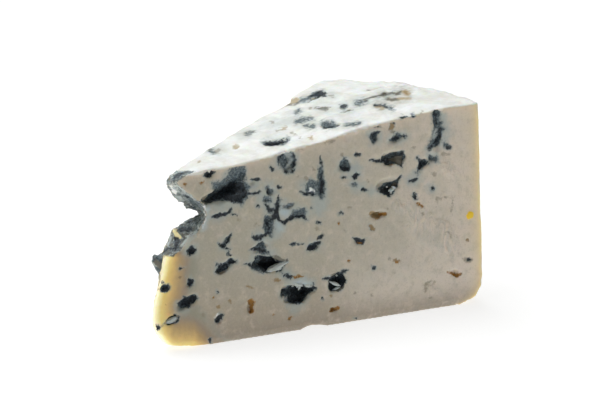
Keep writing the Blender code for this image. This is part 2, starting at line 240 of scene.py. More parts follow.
def outline_distance(across, up, corners):
    """Distance outside a closed outline, less than 0 inside it."""
    within = np.zeros(len(across), bool)
    outside = np.full(len(across), np.inf)
    for start, end in zip(corners, corners[1:] + corners[:1]):
        if start[1] != end[1]:
            slant = (end[0] - start[0]) / (end[1] - start[1])
            crossing = start[0] + (up - start[1]) * slant
            within ^= ((start[1] > up) != (end[1] > up)) & (across < crossing)
        outside = np.minimum(outside, segment_distance(across, up, start, end))
    return np.where(within, -outside, outside)


section = (y - JAW_NEAR_Y) / (JAW_FAR_Y - JAW_NEAR_Y)
lips = [
    tuple(np.array(near)[:, None] * (1 - section) + np.array(far)[:, None] * section)
    for near, far in zip(JAW_NEAR, JAW_FAR)
]
from_jaw = np.minimum.reduce([
    segment_distance(x, z, start, end) for start, end in zip(lips, lips[1:])
])
jaw = 1 - smoothstep(*JAW_REACH, from_jaw)
jaw = jaw * smoothstep(0.15, 0.5, np.minimum(depth, inside_tip + 0.3)) * smoothstep(*JAW_FOOT, z)
crag = np.linalg.norm((points - np.array(CRAG_PLACE)) / np.array(CRAG_SIZE), axis=1)
crag = (1 - smoothstep(0.9, 1.15, crag)) * smoothstep(
    *CRAG_EDGE, seen_across + CRAG_EDGE_SLANT * (seen_down - CRAG_EDGE_DOWN)
)
jaw = np.maximum(jaw, crag)
chip = (x > CHIP_START) & (x < CHIP_END) & (inside_far < CHIP_WIDTH)
chip = chip & (inside_top < CHIP_HEIGHT) & (inside_top > 0.3)
chip = chip & (read_vectors(wedge_mesh, "normal")[:, 2] > 0.25)
depth = np.where(chip, np.minimum(depth, SKIN), depth)
hollow = smoothstep(*HOLLOW_DEPTH, depth) * (1 - jaw)
nose_share = smoothstep(0.5, -0.9, outline_distance(seen_across, seen_down, NOSE))
jaw = np.maximum(
    jaw, nose_share * ((x < NOSE_BACK) & (z > NOSE_FOOT) & (y < half_width - 0.5))
)
hollow = hollow * (1 - jaw)
near_walls = near_side & (jaw < 0.5)

# ---------------------------------------------------------------------------------------
# The mould
# Blue-green mould grew wherever air reached: in the hollows, along cracks and outwards into
# the paste as a haze. Each mark below is read off the photograph as a stroke: its kind, its
# width and the pixels it runs through. It is laid on the cut along the camera's sight lines.

FILLED = 0  # in place of a width, where the points go round a mark's outline
NEAR_MARKS = (
    # The great vein under the tip's top edge
    ("dark", FILLED, (204, 204), (209, 198), (216, 192), (223, 186), (233, 180.6), (242, 182),
     (244.6, 188), (249.6, 193.6), (242, 202.4), (236, 203), (228, 199.6), (217, 199.4),
     (209, 201)),
    ("mould", FILLED, (230, 169), (236, 166.4), (245.4, 166), (245.4, 174), (245, 181),
     (249.6, 187), (247.6, 199), (241, 204), (236, 196), (226, 186), (216, 190), (212.4, 188),
     (212.4, 182.6), (221, 181), (227, 177.6)),
    ("line", 2, (250, 179), (260, 179.4)),
    ("line", 2.2, (245, 194), (260, 192)),
    ("haze", 9, (209, 203), (222, 205), (236, 204)),
    ("haze", 6, (247, 186), (258, 186)),
    ("haze", 8, (226, 178), (240, 172)),
    # The rising vein
    ("line", 3.4, (211, 217.4), (219, 215.4), (228.5, 213)),
    ("line", 2.6, (226.6, 213.4), (229.6, 211.4), (231.6, 207)),
    ("haze", 5, (206, 218), (218, 216), (230, 210)),
    ("haze", 4, (208, 207), (206, 214)),
    ("dark", 2.8, (233.5, 214.1), (234, 214.4)),
    ("faint", 2.6, (238.6, 219.6), (239, 220)),
    # The lip of the fracture
    # The veil and pale strokes along the lip are a painted highlight on its edge
    ("veil", 5, (203, 203), (206, 210), (205.4, 220), (202.6, 230)),
    ("pale", 1.1, (204.4, 205), (205.4, 212), (204.8, 220), (203, 227)),
    ("grey", 2.4, (198, 232), (192, 238), (186, 246)),
    # The tip's top edge
    ("dark", FILLED, (203.2, 176), (204.6, 171.6), (208, 169.8), (213, 169.6), (217, 169.2),
     (215.6, 171.8), (213, 174.4), (210.6, 177), (206, 177.8)),
    ("amber", 2.6, (185.4, 184.3), (186, 184.3)),
    ("amber", 2.2, (200, 182.7), (203.4, 182.3)),
    ("mould", 4.4, (172.6, 180.4), (177.6, 175.8), (184.5, 173.6), (192.6, 172.6)),
    ("line", 2, (173.6, 179.6), (178, 175.4), (184.5, 173.8)),
    # The round vein
    ("mould", 16, (285.6, 159), (287.4, 161)),
    ("line", 2, (278.6, 165), (280, 157.5), (283, 151.6)),
    ("line", 1.8, (283, 156.6), (287, 162), (284, 166.4)),
    ("line", 2, (293, 153), (295.6, 161), (292.3, 168)),
    ("dark", 3.6, (286.4, 170.5), (286.8, 171.2)),
    ("dark", 3.2, (292.8, 170.3), (293.2, 170.8)),
    ("dark", 2.4, (271.5, 168.7), (272, 169)),
    ("grey", 4.6, (289, 162.6), (288, 167.4)),
    ("grey", 2.4, (284, 151.6), (290, 156), (291.6, 161)),
    ("haze", 22, (286, 160), (287, 160)),
    # The upright vein
    ("line", 1.8, (320.4, 156), (321, 167)),
    ("mould", FILLED, (318.6, 167), (321.6, 165.6), (323.4, 175), (324.4, 186), (323.4, 196.4),
     (320.6, 199), (318, 192), (318.6, 180)),
    ("line", 3, (320.6, 173), (321.6, 184), (321.2, 195)),
    ("mould", FILLED, (304.6, 186), (308, 182), (312, 179.6), (317, 182), (317.4, 194), (311, 195),
     (305, 191)),
    ("line", 2.4, (300, 191.6), (304, 194.4), (310, 193.6), (316, 194.8)),
    ("pale", 2, (309.6, 191.6), (312.2, 189.4), (315, 191.8)),
    ("faint", 3, (312.8, 168.6), (313.4, 169.4)),
    ("faint", 3, (305.5, 178), (307, 179.5)),
    ("faint", 2.4, (297.5, 176.2), (298.2, 176.6)),
    ("haze", 14, (319, 186), (320, 200), (319, 212)),
    ("haze", 14, (307, 188), (314, 188)),
    # Blots in the middle
    ("mould", 7.5, (343, 163.5), (347, 168)),
    ("dark", 4, (340.5, 166), (345, 169), (350, 169)),
    ("mould", 4, (344.5, 159.5), (343, 163)),
    ("line", 2.8, (353.7, 155.4), (358.6, 154)),
    ("faint", 2.8, (341.2, 154.2), (342, 154.2)),
    ("dark", 4.3, (354, 177), (359, 174.4)),
    ("dark", 2.6, (343.2, 177), (343.8, 177.2)),
    ("faint", 2.4, (366.4, 180), (366.8, 180.2)),
    ("mould", 2, (352, 185), (355.5, 184.6)),
    ("line", 2.8, (360.6, 190.4), (366.6, 189.4)),
    ("faint", 2.4, (346.8, 189.8), (347, 190.4)),
    ("dark", 2.4, (363, 189.8), (363.4, 190)),
    ("haze", 14, (345, 166), (355, 172)),
    ("haze", 8, (352, 184), (362, 188)),
    # Blots under the top edge
    ("dark", 4.2, (371.6, 134.6), (377.6, 132.4)),
    ("mould", 5, (371.6, 136), (373.6, 142)),
    ("faint", 2.4, (373.2, 126), (381, 127.2)),
    ("line", 1.3, (374, 126.2), (380, 127)),
    ("ochre", 3, (391, 124.6), (392.6, 126), (390.6, 128.6)),
    ("line", 1.4, (390, 124.6), (393.8, 123.4), (394, 125.6)),
    ("line", 1.2, (390, 127), (392, 129.6)),
    ("faint", 3, (389.6, 127.6), (396, 133)),
    ("dark", 4, (389.4, 139.8), (394, 138), (400, 136.3)),
    ("mould", 3, (396, 133), (399, 136)),
    ("dark", 2.4, (402.4, 135.6), (406.4, 136.4)),
    ("dark", 2.6, (334.4, 136), (335, 136.2)),
    ("faint", 2.8, (323, 141.4), (336, 141)),
    ("faint", 2.2, (300, 149), (304, 148.6)),
    ("faint", 1.6, (412.5, 147.6), (417.5, 146.8)),
    ("haze", 10, (372, 136), (376, 138)),
    ("haze", 9, (391, 139), (404, 137)),
    # The hollow like a fish
    ("line", 2.6, (370.6, 159.4), (377, 161.6), (386, 160.8)),
    ("dark", FILLED, (383, 161), (390, 156), (397, 153.6), (405, 151.2), (403.6, 156),
     (402.8, 161), (402, 167.8), (397.6, 164.4), (393, 162), (387, 162.6)),
    ("shade", FILLED, (388.6, 160.4), (392, 158), (398, 156.2), (402.4, 155), (401.6, 159),
     (400.6, 164.6), (396.6, 162.4), (392, 161.2)),
    # The dark corner
    ("dark", FILLED, (416.6, 156.6), (421.6, 160.4), (428.6, 163.2), (423.4, 165.4), (420, 170),
     (418, 168.4), (418.8, 163.4)),
    ("mould", 2, (419, 170.6), (416.4, 174.4)),
    ("line", 2.8, (408.8, 181.4), (416.8, 178)),
    ("haze", 9, (410, 180), (417, 178)),
    # The vein near the rim
    ("mould", FILLED, (431.4, 107.4), (440.6, 106.4), (440.4, 112), (438, 117), (441.4, 121.6),
     (444, 128), (442, 136), (438.6, 142.4), (434, 146), (429.2, 151), (426.8, 147.6),
     (430.4, 141), (432.2, 136), (433, 128), (434.4, 120), (432.2, 112.6)),
    ("dark", 2.8, (433.6, 108.6), (435.4, 114), (436, 120), (438, 124)),
    ("dark", 3.6, (438, 124), (440, 130), (437.6, 137), (433.6, 143.4)),
    ("dark", 2.2, (432, 145), (428.6, 149.6)),
    ("grey", 2, (435.6, 129), (434.6, 135), (433, 139)),
    ("mould", 2.6, (429, 155.5), (435.2, 160.4), (436.4, 156.8)),
    ("haze", 8, (430, 154), (434, 158)),
    ("mould", 2.8, (443.4, 143.4), (447, 145.4)),
    ("line", 3, (446, 147), (450.6, 146.8)),
    ("haze", 11, (441, 114), (443, 132), (440, 146)),
    ("faint", 3, (433, 174.6), (435.6, 174.8)),
    ("dark", 3.4, (431.5, 188.2), (432, 188.8)),
    ("haze", 5, (431.5, 188.2), (432, 188.8)),
    ("dark", 3.2, (413.8, 193.6), (415, 197.8)),
    # The hollow with crumbs
    ("dark", FILLED, (377, 192), (383.8, 187.4), (390, 184.4), (395.4, 181.4), (397, 182.6),
     (394.8, 188), (393.2, 194.6), (389.6, 197), (387, 193.8), (382.4, 193.8)),
    ("shade", FILLED, (389.4, 187.4), (394.4, 183), (396, 184), (393.4, 188.4), (390.6, 189.4)),
    ("line", 1.9, (395, 182), (401.6, 176.6)),
    ("haze", 5, (369, 190.4), (378, 192)),
    # Specks right of the middle
    ("amber", 2.6, (417, 203.5), (422.5, 206.8)),
    ("faint", 3.6, (422.4, 213), (423.2, 214)),
    ("faint", 2, (386.9, 208.8), (387.2, 209.2)),
    ("ochre", 7.4, (373.4, 215.2), (377, 215.4)),
    ("amber", 4, (381, 215), (384, 214.4)),
    ("ochre", 3.2, (370.8, 226.6), (374, 228.6)),
    ("dark", 2.2, (371.2, 227.4), (372.8, 228.4)),
    ("line", FILLED, (352.8, 238), (365.2, 238.6), (362.4, 243.4), (357, 244.2)),
    ("amber", 1.4, (357.6, 243), (361, 242.8)),
    ("dark", 2.8, (340.4, 213), (342, 213)),
    ("amber", 2.2, (338.2, 223.4), (339, 223.5)),
    ("faint", 2.4, (349.6, 206.8), (350.6, 206.8)),
    ("faint", 1.6, (343.6, 228), (346.6, 231)),
    ("dark", 2.8, (317.6, 222.8), (318.6, 222.8)),
    ("faint", 3, (317, 229), (319.6, 229)),
    ("faint", 3.8, (318.6, 238), (324, 235.4)),
    ("line", 2, (319, 238.2), (323.4, 235.8)),
    ("dark", 2, (311.5, 208.4), (312.4, 208.6)),
    # Smeared curd
    ("curd", 30, (414, 214), (426, 232), (446, 240)),
    ("curd", 22, (440, 226), (452, 250)),
    ("curd", 14, (446, 166), (450, 172)),
    ("curd", 12, (398, 206), (408, 212)),
    ("curd", 10, (426, 288), (434, 290)),
    # Thin faint strokes along the curd's ridges: painted shadow
    ("faint", 1.1, (436, 208), (437.6, 198), (444, 197.4), (452, 198), (452.6, 214)),
    ("faint", 1, (443, 236), (447, 232), (452, 233.6), (450, 239)),
    ("faint", 1, (439.6, 156.4), (444, 153.8), (450, 154)),
    # Specks near the rim
    ("gold", 7.4, (469.6, 214.9), (470, 215)),
    ("ochre", 3, (467.6, 239.6), (468, 240)),
    ("faint", 5, (466, 260), (472, 260.4)),
    ("line", 1.8, (467, 260), (471, 260.4)),
    ("amber", FILLED, (447.2, 270.6), (452, 272.2), (461.8, 273.4), (459, 277), (452.4, 276.4)),
    ("faint", 2, (436, 282.3), (428, 282), (426.5, 287), (424, 291)),
    ("faint", 2, (430.8, 297), (431.4, 297)),
    ("amber", 2.2, (348.4, 260.8), (349, 261)),
    ("dark", 2.2, (373.6, 267.4), (374.2, 267.4)),
    ("faint", 2.4, (388.6, 259.4), (389.2, 259.8)),
    ("ochre", 3.4, (394.4, 260), (400.4, 261.4)),
    ("amber", 2.6, (396.6, 261.6), (398, 263)),
    ("faint", 2, (394, 272.6), (394.6, 273)),
    ("faint", 2.2, (371.6, 294.8), (372.2, 294.8)),
    ("faint", 2.2, (354.2, 294), (354.8, 294)),
    # The knot of veins
    ("mould", 5.4, (267.6, 188), (269.4, 193.6)),
    ("dark", 3, (267.6, 189), (268.6, 193)),
    ("mould", 3, (271, 189.6), (272.4, 191)),
    ("mould", 5.4, (265, 199.4), (268.6, 200.6)),
    ("line", 1.8, (264, 201), (269.6, 201.6)),
    ("dark", 2.2, (257.6, 206.8), (258.4, 207.2)),
    ("line", 1.5, (279.2, 185.6), (279.4, 189)),
    ("line", 2, (278.8, 195), (278.6, 202)),
    ("line", 3.6, (278.6, 200), (277.6, 206), (276.4, 212), (278, 217), (282, 221.4)),
    ("mould", 4, (279.6, 202), (276, 208)),
    ("line", 2.8, (264.8, 204.4), (270.6, 210), (277, 212)),
    ("mould", 4, (268, 208), (275, 213)),
    ("line", 3.4, (277, 211), (273, 219), (268.6, 222)),
    ("line", 3.2, (281, 220), (285, 222.6), (289, 218.8), (294, 216.6)),
    ("mould", FILLED, (291.6, 215.6), (294, 210.4), (299, 209.4), (305.4, 208.4), (305, 212.6),
     (303, 217), (296, 217.4)),
    ("line", 2.6, (293, 217), (302, 216.2), (307, 218.4), (308, 219.8)),
    ("mould", FILLED, (265, 214.6), (268, 214.6), (273.6, 219), (273.4, 228), (271.4, 236.6),
     (266, 235), (263.4, 229), (264.6, 222)),
    ("line", 2.2, (266, 218), (269, 226), (268.4, 233)),
    ("line", 2.8, (272, 233), (266, 234.6), (260, 238), (255.4, 238), (252.4, 234)),
    ("faint", 3, (255.4, 225.2), (258.4, 225.2)),
    ("faint", 4.8, (285.4, 205.8), (292.4, 205)),
    ("mould", 3.8, (286, 206), (291.6, 205)),
    ("line", 2, (258.4, 246.6), (258.8, 243), (262, 242.6), (263.4, 246.4)),
    ("line", 2.4, (249, 249.8), (256, 248.8), (262, 250.6), (268, 252)),
    ("mould", FILLED, (255.6, 249), (259, 246), (264, 246.6), (267.6, 250), (268.4, 255),
     (262, 254.6), (257, 252)),
    ("veil", 9, (282, 208), (287, 213)),
    ("veil", 7, (276, 222), (282, 230)),
    ("haze", 14, (284, 209), (290, 210)),
    ("haze", 14, (277, 224), (272, 234)),
    ("haze", 12, (260, 236), (262, 246)),
    ("haze", 15, (269, 188), (266, 202), (272, 208)),
    ("haze", 11, (296, 214), (306, 213)),
    # The hollow with a sliver
    ("dark", FILLED, (258.6, 266), (259, 260), (262.6, 256.4), (272, 256.6), (276, 260),
     (286.6, 260.4), (280, 262.6), (272, 267.4), (268, 273), (262, 272.6)),
    ("mould", FILLED, (250.6, 268), (254, 262), (259, 257), (262, 264), (264, 273), (256, 271.4)),
    ("line", 2.2, (245.6, 264.4), (252.8, 266)),
    ("shade", FILLED, (272, 256.6), (277, 256.4), (283, 258.6), (287, 260.6), (276, 260.4)),
    ("line", 2, (276, 272.4), (280, 267.6), (287.4, 262.6)),
    ("line", 1.6, (280, 268), (282, 274)),
    ("dark", FILLED, (283.6, 275.4), (287, 274), (292.6, 275.6), (291, 278.4), (286, 279)),
    ("ochre", 2.8, (291.6, 277), (297, 276), (303.4, 276)),
    ("amber", 1.6, (291.6, 277.2), (297, 276.4), (303, 276.2)),
    ("ochre", FILLED, (272.6, 280), (276.4, 278.4), (281.4, 280), (278, 282.4)),
    ("haze", 12, (254, 262), (262, 252), (272, 254)),
    ("haze", 10, (282, 270), (292, 282)),
    # The forked vein
    ("line", 2.2, (231, 234.4), (227.4, 241), (222, 245.4)),
    ("line", 2, (217.6, 243.8), (223, 246), (230.8, 249.6)),
    ("dark", 2.4, (228.6, 253), (229, 255)),
    ("haze", 6, (227, 241), (223, 246)),
    # The slanted bar
    ("dark", FILLED, (216.4, 262.6), (219.4, 265.4), (225, 262.2), (231, 259), (237.6, 262),
     (231, 263.8), (226, 266.8), (221.6, 269.6), (216.4, 274.6), (215.6, 271.6), (218, 268.2)),
    ("haze", 6, (219, 270), (232, 261)),
    # Halfway up the tip and below
    ("dark", FILLED, (187, 250.8), (192, 246), (197, 249), (193.6, 252.8), (189.2, 254.6)),
    ("haze", 7, (188.4, 251.4), (194.6, 248.4)),
    ("dark", 2.2, (178.8, 269), (182.8, 266.8)),
    ("dark", FILLED, (188, 278), (191, 277), (193.6, 279), (192.4, 285.6), (189.4, 287.4),
     (188, 284)),
    ("ochre", 2.4, (180, 277), (181, 277.4)),
    ("dark", 6, (162.4, 290), (168.6, 287)),
    ("dark", 1.4, (160.6, 283), (162.4, 282.3), (164, 283.4)),
    ("dark", FILLED, (178, 302.8), (182.5, 299), (188.7, 296.4), (195, 295.6), (198.6, 298.4),
     (193.3, 301.9), (190.2, 304.4), (188.9, 309.6), (185.6, 305.4), (180.4, 306.2)),
    # Murk strokes here and on the top are painted shade
    ("murk", 11, (180, 310), (190, 312), (202, 316)),
    ("murk", 7, (194, 262), (191, 276), (193, 292)),
    ("haze", 6, (178, 306), (184, 310)),
    ("pale", 4, (169.4, 321), (175, 318.4)),
    ("line", 1.7, (164.6, 323.4), (173.6, 316.2), (179, 316.6), (178, 321), (165.4, 323.6)),
    ("dark", 4.6, (155, 329.8), (157.8, 327.6)),
    ("faint", 1.4, (158.8, 327), (164.6, 323.4)),
    # Specks low on the left
    ("dark", 2, (217.4, 291.8), (218, 292)),
    ("amber", 1.8, (213, 296.8), (213.4, 298.4)),
    ("ochre", 3, (229.4, 301.6), (230.6, 302)),
    ("ochre", 3.4, (217.6, 306.8), (219.4, 306.8)),
    ("faint", 2, (236.4, 278.8), (238, 278.8)),
    ("ochre", 2, (246, 286.4), (254, 288)),
    ("amber", FILLED, (247.2, 300.6), (252.8, 299.6), (254.2, 304), (252.2, 307), (252.8, 312),
     (249.6, 314.4), (248.4, 308), (249.2, 304.4)),
    ("dark", 5, (216.4, 321), (221.2, 316)),
    ("pale", 1.6, (213.6, 318), (218, 313.8)),
    ("dark", 2.8, (209.4, 340.4), (210, 341)),
    ("faint", 1.8, (203.2, 314.2), (203.6, 314.4)),
    ("amber", 2.2, (273.4, 314.7), (273.8, 315)),
    ("amber", 2.4, (288.6, 319.2), (292.4, 317)),
    ("amber", 1.6, (166.2, 304.2), (166.6, 304.4)),
    ("dark", 1.8, (174.6, 313.6), (175, 314)),
    # The crumbly hollow
    ("mould", 3.4, (281.2, 295.6), (284.4, 292.8)),
    ("dark", FILLED, (289.4, 288.4), (293, 285.4), (296.8, 285.8), (299.6, 288.6), (301.4, 284.6),
     (304, 284.8), (306.8, 289), (311, 287.6), (312.4, 281.6), (313.6, 285), (316.2, 290.4),
     (307, 294), (302.4, 297.4), (300, 302.4), (292, 303), (289.8, 298)),
    ("veil", 5, (293, 282), (311, 282.6)),
    ("haze", 10, (288, 284), (312, 283)),
    ("haze", 8, (286, 296), (296, 307), (306, 298)),
    # The hollow with flakes
    ("dark", FILLED, (330.4, 277.4), (336, 272.6), (342, 272.6), (345.6, 279.6), (344, 285.8),
     (339.8, 292), (334.4, 290.4), (328.6, 287.2), (329.6, 282)),
    ("shade", 3, (337, 290.6), (342, 287)),
    ("shade", 2, (331, 275.4), (337, 272.4)),
    ("line", 1.8, (322.6, 279), (330, 277.6)),
    ("line", 2, (341, 273), (348, 270.2)),
    ("ochre", 2.4, (330.4, 295.2), (331.4, 295.2)),
    ("dark", 2, (321.6, 299), (322.2, 299)),
    ("amber", 3.4, (329.6, 311.8), (334, 309), (338.6, 308)),
    ("dark", 2.2, (354.6, 318), (355.6, 318.2)),
    # The lower blot
    ("dark", FILLED, (306.6, 250.6), (308.4, 246.4), (313, 243.4), (320.6, 241.4), (321.4, 243),
     (317.4, 247), (312, 249.8)),
    ("line", 1.8, (290.6, 244), (296, 244.4), (302.4, 244)),
    ("line", 2.6, (296.4, 244.6), (299, 244.6)),
    ("haze", 7, (310, 248), (318, 243)),
)
TOP_EDGE_MARKS = (
    ("line", 3, (401, 117), (407.4, 115.8)),
    ("dark", 3, (412.6, 114.8), (413.2, 115)),
    ("faint", 2, (421.2, 112.4), (422, 112.2)),
)
TOP_MARKS = (
    # The black hole
    ("dark", FILLED, (262.6, 141.6), (268, 140.4), (277, 141), (284, 138.8), (289, 138),
     (287, 141.8), (282, 144.6), (273, 146.2), (266, 145)),
    ("haze", 9, (266, 142), (286, 141)),
    ("mould", 3.4, (284, 142), (287.4, 140)),
    # The blue round
    ("mould", 5.6, (323, 124.4), (329, 125.4), (335, 124.8)),
    ("dark", 2, (323, 127), (329, 128.2), (334, 127.2)),
    ("haze", 9, (322, 125), (336, 125)),
    # The streak at the far edge
    ("dark", FILLED, (311, 95), (317, 91.4), (322, 90), (326.4, 91.6), (325.8, 95), (321, 96.8),
     (314, 97.4), (309, 98.6)),
    ("mould", FILLED, (298.6, 101.6), (301, 98.8), (307, 96.8), (313, 95.4), (311, 98.8),
     (304, 101.6)),
    ("haze", 7, (302, 100), (310, 99), (324, 95)),
    ("haze", 5, (326, 94), (334, 96)),
    ("tan", 5, (292, 102), (297, 99.4)),
    ("shade", 1.4, (287.4, 104.8), (299, 102.8)),
    ("faint", 1.6, (330, 95.4), (334.6, 95.8)),
    # The black dot
    ("dark", 2.8, (342, 106.6), (345.4, 105.8)),
    ("haze", 5, (338, 107), (346, 106)),
    # Mottles near the cut
    ("mould", 3, (345, 126), (352, 124.6), (360, 123.6)),
    ("haze", 8, (344, 126), (360, 124)),
    ("mould", 2, (296, 121.4), (304, 119.6), (313, 119)),
    ("mould", 2.6, (304.4, 125.4), (309, 127), (315, 128)),
    ("haze", 12, (298, 121), (316, 124)),
    ("faint", 1.6, (291.4, 134), (295.4, 133.8)),
    ("tan", 2.4, (309.6, 137.6), (311, 137.4)),
    ("faint", 2, (299.6, 137.4), (301, 137.2)),
    # Mottles far from the cut
    ("shade", 1.5, (315, 107.2), (322, 108), (331, 107.4)),
    ("haze", 6, (314, 108), (334, 107.4)),
    ("shade", 1.4, (341, 112), (347, 110.4), (353.6, 108.6)),
    ("haze", 6, (338, 112), (356, 108)),
    ("mould", 3, (296, 113), (299.6, 110.6)),
    ("haze", 6, (294, 114), (300, 111)),
    ("faint", 2, (309.4, 107.8), (310.6, 107.6)),
    ("mould", 1.6, (296.4, 121.6), (300, 120.8)),
    ("mould", 2, (355, 103.6), (361, 102.4), (367, 100.4)),
    ("shade", 1.4, (363, 100), (372, 97.4), (384, 94.2), (394, 92.6)),
    ("haze", 9, (350, 105), (362, 102), (372, 98)),
    # In the dents far on the top, the murk and shade strokes are painted shadow
    ("line", 1.8, (373.6, 104.4), (380, 106), (388, 107.2)),
    ("murk", 6, (376, 104), (386, 106)),
    ("tan", 2, (376, 106.8), (384, 108)),
    ("mould", 1.6, (389, 106.6), (393.4, 109)),
    ("murk", 5, (384, 98.6), (395, 100), (409, 98)),
    ("shade", 2.4, (386.4, 98.6), (392, 100.2), (400, 99.8)),
    ("tan", 2.6, (398, 99.8), (411, 98.4)),
    ("murk", 6, (394, 92.6), (401, 92), (408, 91)),
    ("shade", 2, (388, 94), (396, 93), (401.6, 91.2)),
    ("tan", 4.2, (403.4, 91.2), (409, 93)),
    ("ochre", 1.6, (404, 90.6), (407, 92.8)),
    ("haze", 7, (372, 97), (398, 93)),
    # Mottles towards the tip
    ("faint", 2.6, (245, 134), (250, 132), (256, 131.8)),
    ("mould", 1.8, (246, 134), (250, 132.4), (253, 131.6)),
    ("faint", 2.4, (210, 149.6), (214, 151.6), (221, 148.8)),
    ("mould", 1.4, (210, 150), (214, 152)),
    ("tan", 3, (234, 146.4), (237.6, 146.4)),
    ("faint", 2.2, (275.6, 131.6), (279, 129.8), (283, 129.8)),
    ("faint", 1.8, (253, 121.4), (257.4, 120.2)),
    ("faint", 2.4, (271.4, 122), (273.8, 121.8)),
    ("tan", 2, (198.4, 162), (199.6, 162)),
    ("tan", 3, (282, 129), (286, 127)),
    ("haze", 7, (262, 126), (284, 122), (300, 118)),
    ("haze", 6, (240, 134), (256, 131)),
    ("haze", 6, (206, 151), (222, 148)),
)
TIP_MARKS = (
    # The worn nose
    ("grey", 2.6, (191, 174.4), (182, 177.6), (177, 182.6), (182, 189), (193, 196), (203, 203)),
    ("pale", 1.3, (189, 175.4), (181.6, 178), (177.4, 183), (181, 188)),
    # Painted highlight on the lip of the fracture
    ("pale", 1.4, (202, 204), (206, 209), (206, 216)),
    ("pale", 3, (170.4, 184.6), (172.6, 188.6), (176, 193)),
    ("grey", 4, (176, 196), (181, 201)),
    ("mould", 4.6, (172.6, 180.4), (177.6, 175.8), (184.5, 173.6), (192.6, 172.6)),
    ("line", 2, (173.6, 179.6), (178, 175.4), (184.5, 173.8)),
    ("shade", 2.4, (168.6, 179.6), (170.4, 177.6)),
    ("mould", 1.8, (171, 192.6), (167.4, 188.6)),
    ("dark", 1.6, (180.4, 190.6), (187, 196.8), (190, 198)),
    ("dark", 1.6, (177.4, 200.8), (184.4, 201.4)),
    ("mould", 4, (190, 200), (200, 207)),
    ("dark", 1.6, (186, 203.6), (196, 209.4)),
    # The lower jaw
    ("cream", 4.4, (173.6, 230.4), (180, 236.8)),
    ("dark", 4.6, (178, 228), (184, 230), (192, 228)),
    ("dark", 6, (178, 236), (176, 245)),
    ("dark", 3, (166, 249), (173, 250), (178, 247)),
    ("dark", 2.4, (164, 251), (172, 250), (178, 249)),
    ("grey", 4, (170, 236), (168, 245)),
    ("grey", 5, (196, 232), (188, 239), (182, 246)),
    # Painted highlight on the lip of the fracture
    ("grey", 3, (206.4, 215), (206, 222), (203, 229)),
    ("line", 1.4, (186, 224), (196, 219)),
    # The crag
    ("mould", 14, (154, 257), (160, 268)),
    ("shade", 5, (156, 262), (160, 267)),
    ("line", 2, (153.6, 258), (158, 270)),
    ("grey", 1.6, (152.6, 260.6), (157, 269.6)),
)
KINDS = (
    "murk", "haze", "veil", "faint", "shade", "mould", "dark", "line", "ochre", "amber", "gold",
    "pale", "cream", "curd", "tan", "grey",
)
PIXEL = 0.28  # millimetres of the near cut that one pixel shows
THINNED = 0.7  # share of its width that a long stroke loses at its ends
FAR_AWAY = 9.0  # a distance in millimetres at which no mark shows
TIP_ENDS = 212  # the pixel across at which the tip's own marks end
DENTS_RIGHT_OF, DENTS_ABOVE = 372, 103  # pixels that bound the clean dents far on the top


def stroke_distance(across, up, width, route):
    """Distance outside a stroke that thins towards its ends, less than 0 inside it."""
    lengths = [math.dist(start, end) for start, end in zip(route, route[1:])]
    thinning = THINNED * min(sum(lengths) / (3 * width), 1)
    outside, run = np.full(len(across), np.inf), 0.0
    for start, end, length in zip(route, route[1:], lengths):
        middle = ((start[0] + end[0]) / 2, (start[1] + end[1]) / 2)
        way = ((end[0] - start[0]) / length, (end[1] - start[1]) / length)
        along = (across - middle[0]) * way[0] + (up - middle[1]) * way[1]
        share = (run + np.clip(along + length / 2, 0, length)) / sum(lengths)
        half = width / 2 * (1 - thinning * (2 * share - 1) ** 4)
        outside = np.minimum(outside, segment_distance(across, up, start, end) - half)
        run += length
    return outside


def paint(marks, across, up, unit, where):
    """Lowers each kind's field to the distance, in millimetres, outside its marks."""
    across, up = across[where] + stray[0][where] / unit, up[where] + stray[1][where] / unit
    for kind, width, *route in marks:
        if width == FILLED:
            reach = outline_distance(across, up, route)
        else:
            reach = stroke_distance(across, up, width, route)
        fields[kind][where] = np.minimum(fields[kind][where], reach * unit)


# Growing mould strays from a drawn line, more over a few millimetres than over one
stray = [
    0.42 * lumps(points, 1.9, seed) + 0.3 * lumps(points, 0.95, seed + 1) for seed in (21, 31)
]
fields = {kind: np.full(len(points), FAR_AWAY) for kind in KINDS}
paint(NEAR_MARKS, seen_across, seen_down, PIXEL, near_walls)
paint(TOP_MARKS, seen_across, seen_down, PIXEL, top_side & (jaw < 0.5))
paint(TIP_MARKS, seen_across, seen_down, PIXEL, (seen_across < TIP_ENDS) & (jaw >= 0.5))
paint(TOP_EDGE_MARKS, seen_across, seen_down, PIXEL, near_walls | top_side)

# The near cut's hollows darken only where a mark lies over them, and the far dents are clean
drawn = np.minimum.reduce([fields[kind] for kind in ("dark", "mould", "line", "shade", "pale")])
depth = np.where(near_walls, depth * (1 - 0.9 * smoothstep(0.1, 1.0, drawn)), depth)
clean_dents = top_side & (seen_across > DENTS_RIGHT_OF) & (seen_down < DENTS_ABOVE)
depth = np.where(clean_dents, np.minimum(depth, SKIN), depth)

# Out of sight the mould is scattered: short bent strokes, a few long veins and many specks,
# over a stretch of the face and a range of heights, with the kinds in these proportions
FAR_STROKES, FAR_LONG, FAR_HIGH, FAR_BUSY = 70, (10, 92), (4, 50), (5, 5, 3, 2, 1)
RIM_STROKES, RIM_LONG, RIM_HIGH, RIM_BUSY = 26, (-28, 28), (3, 52), (1, 2, 4, 1, 3)
HAZED_FROM = 1.2  # wider mould than this has a haze round it
draw = random.Random(7)


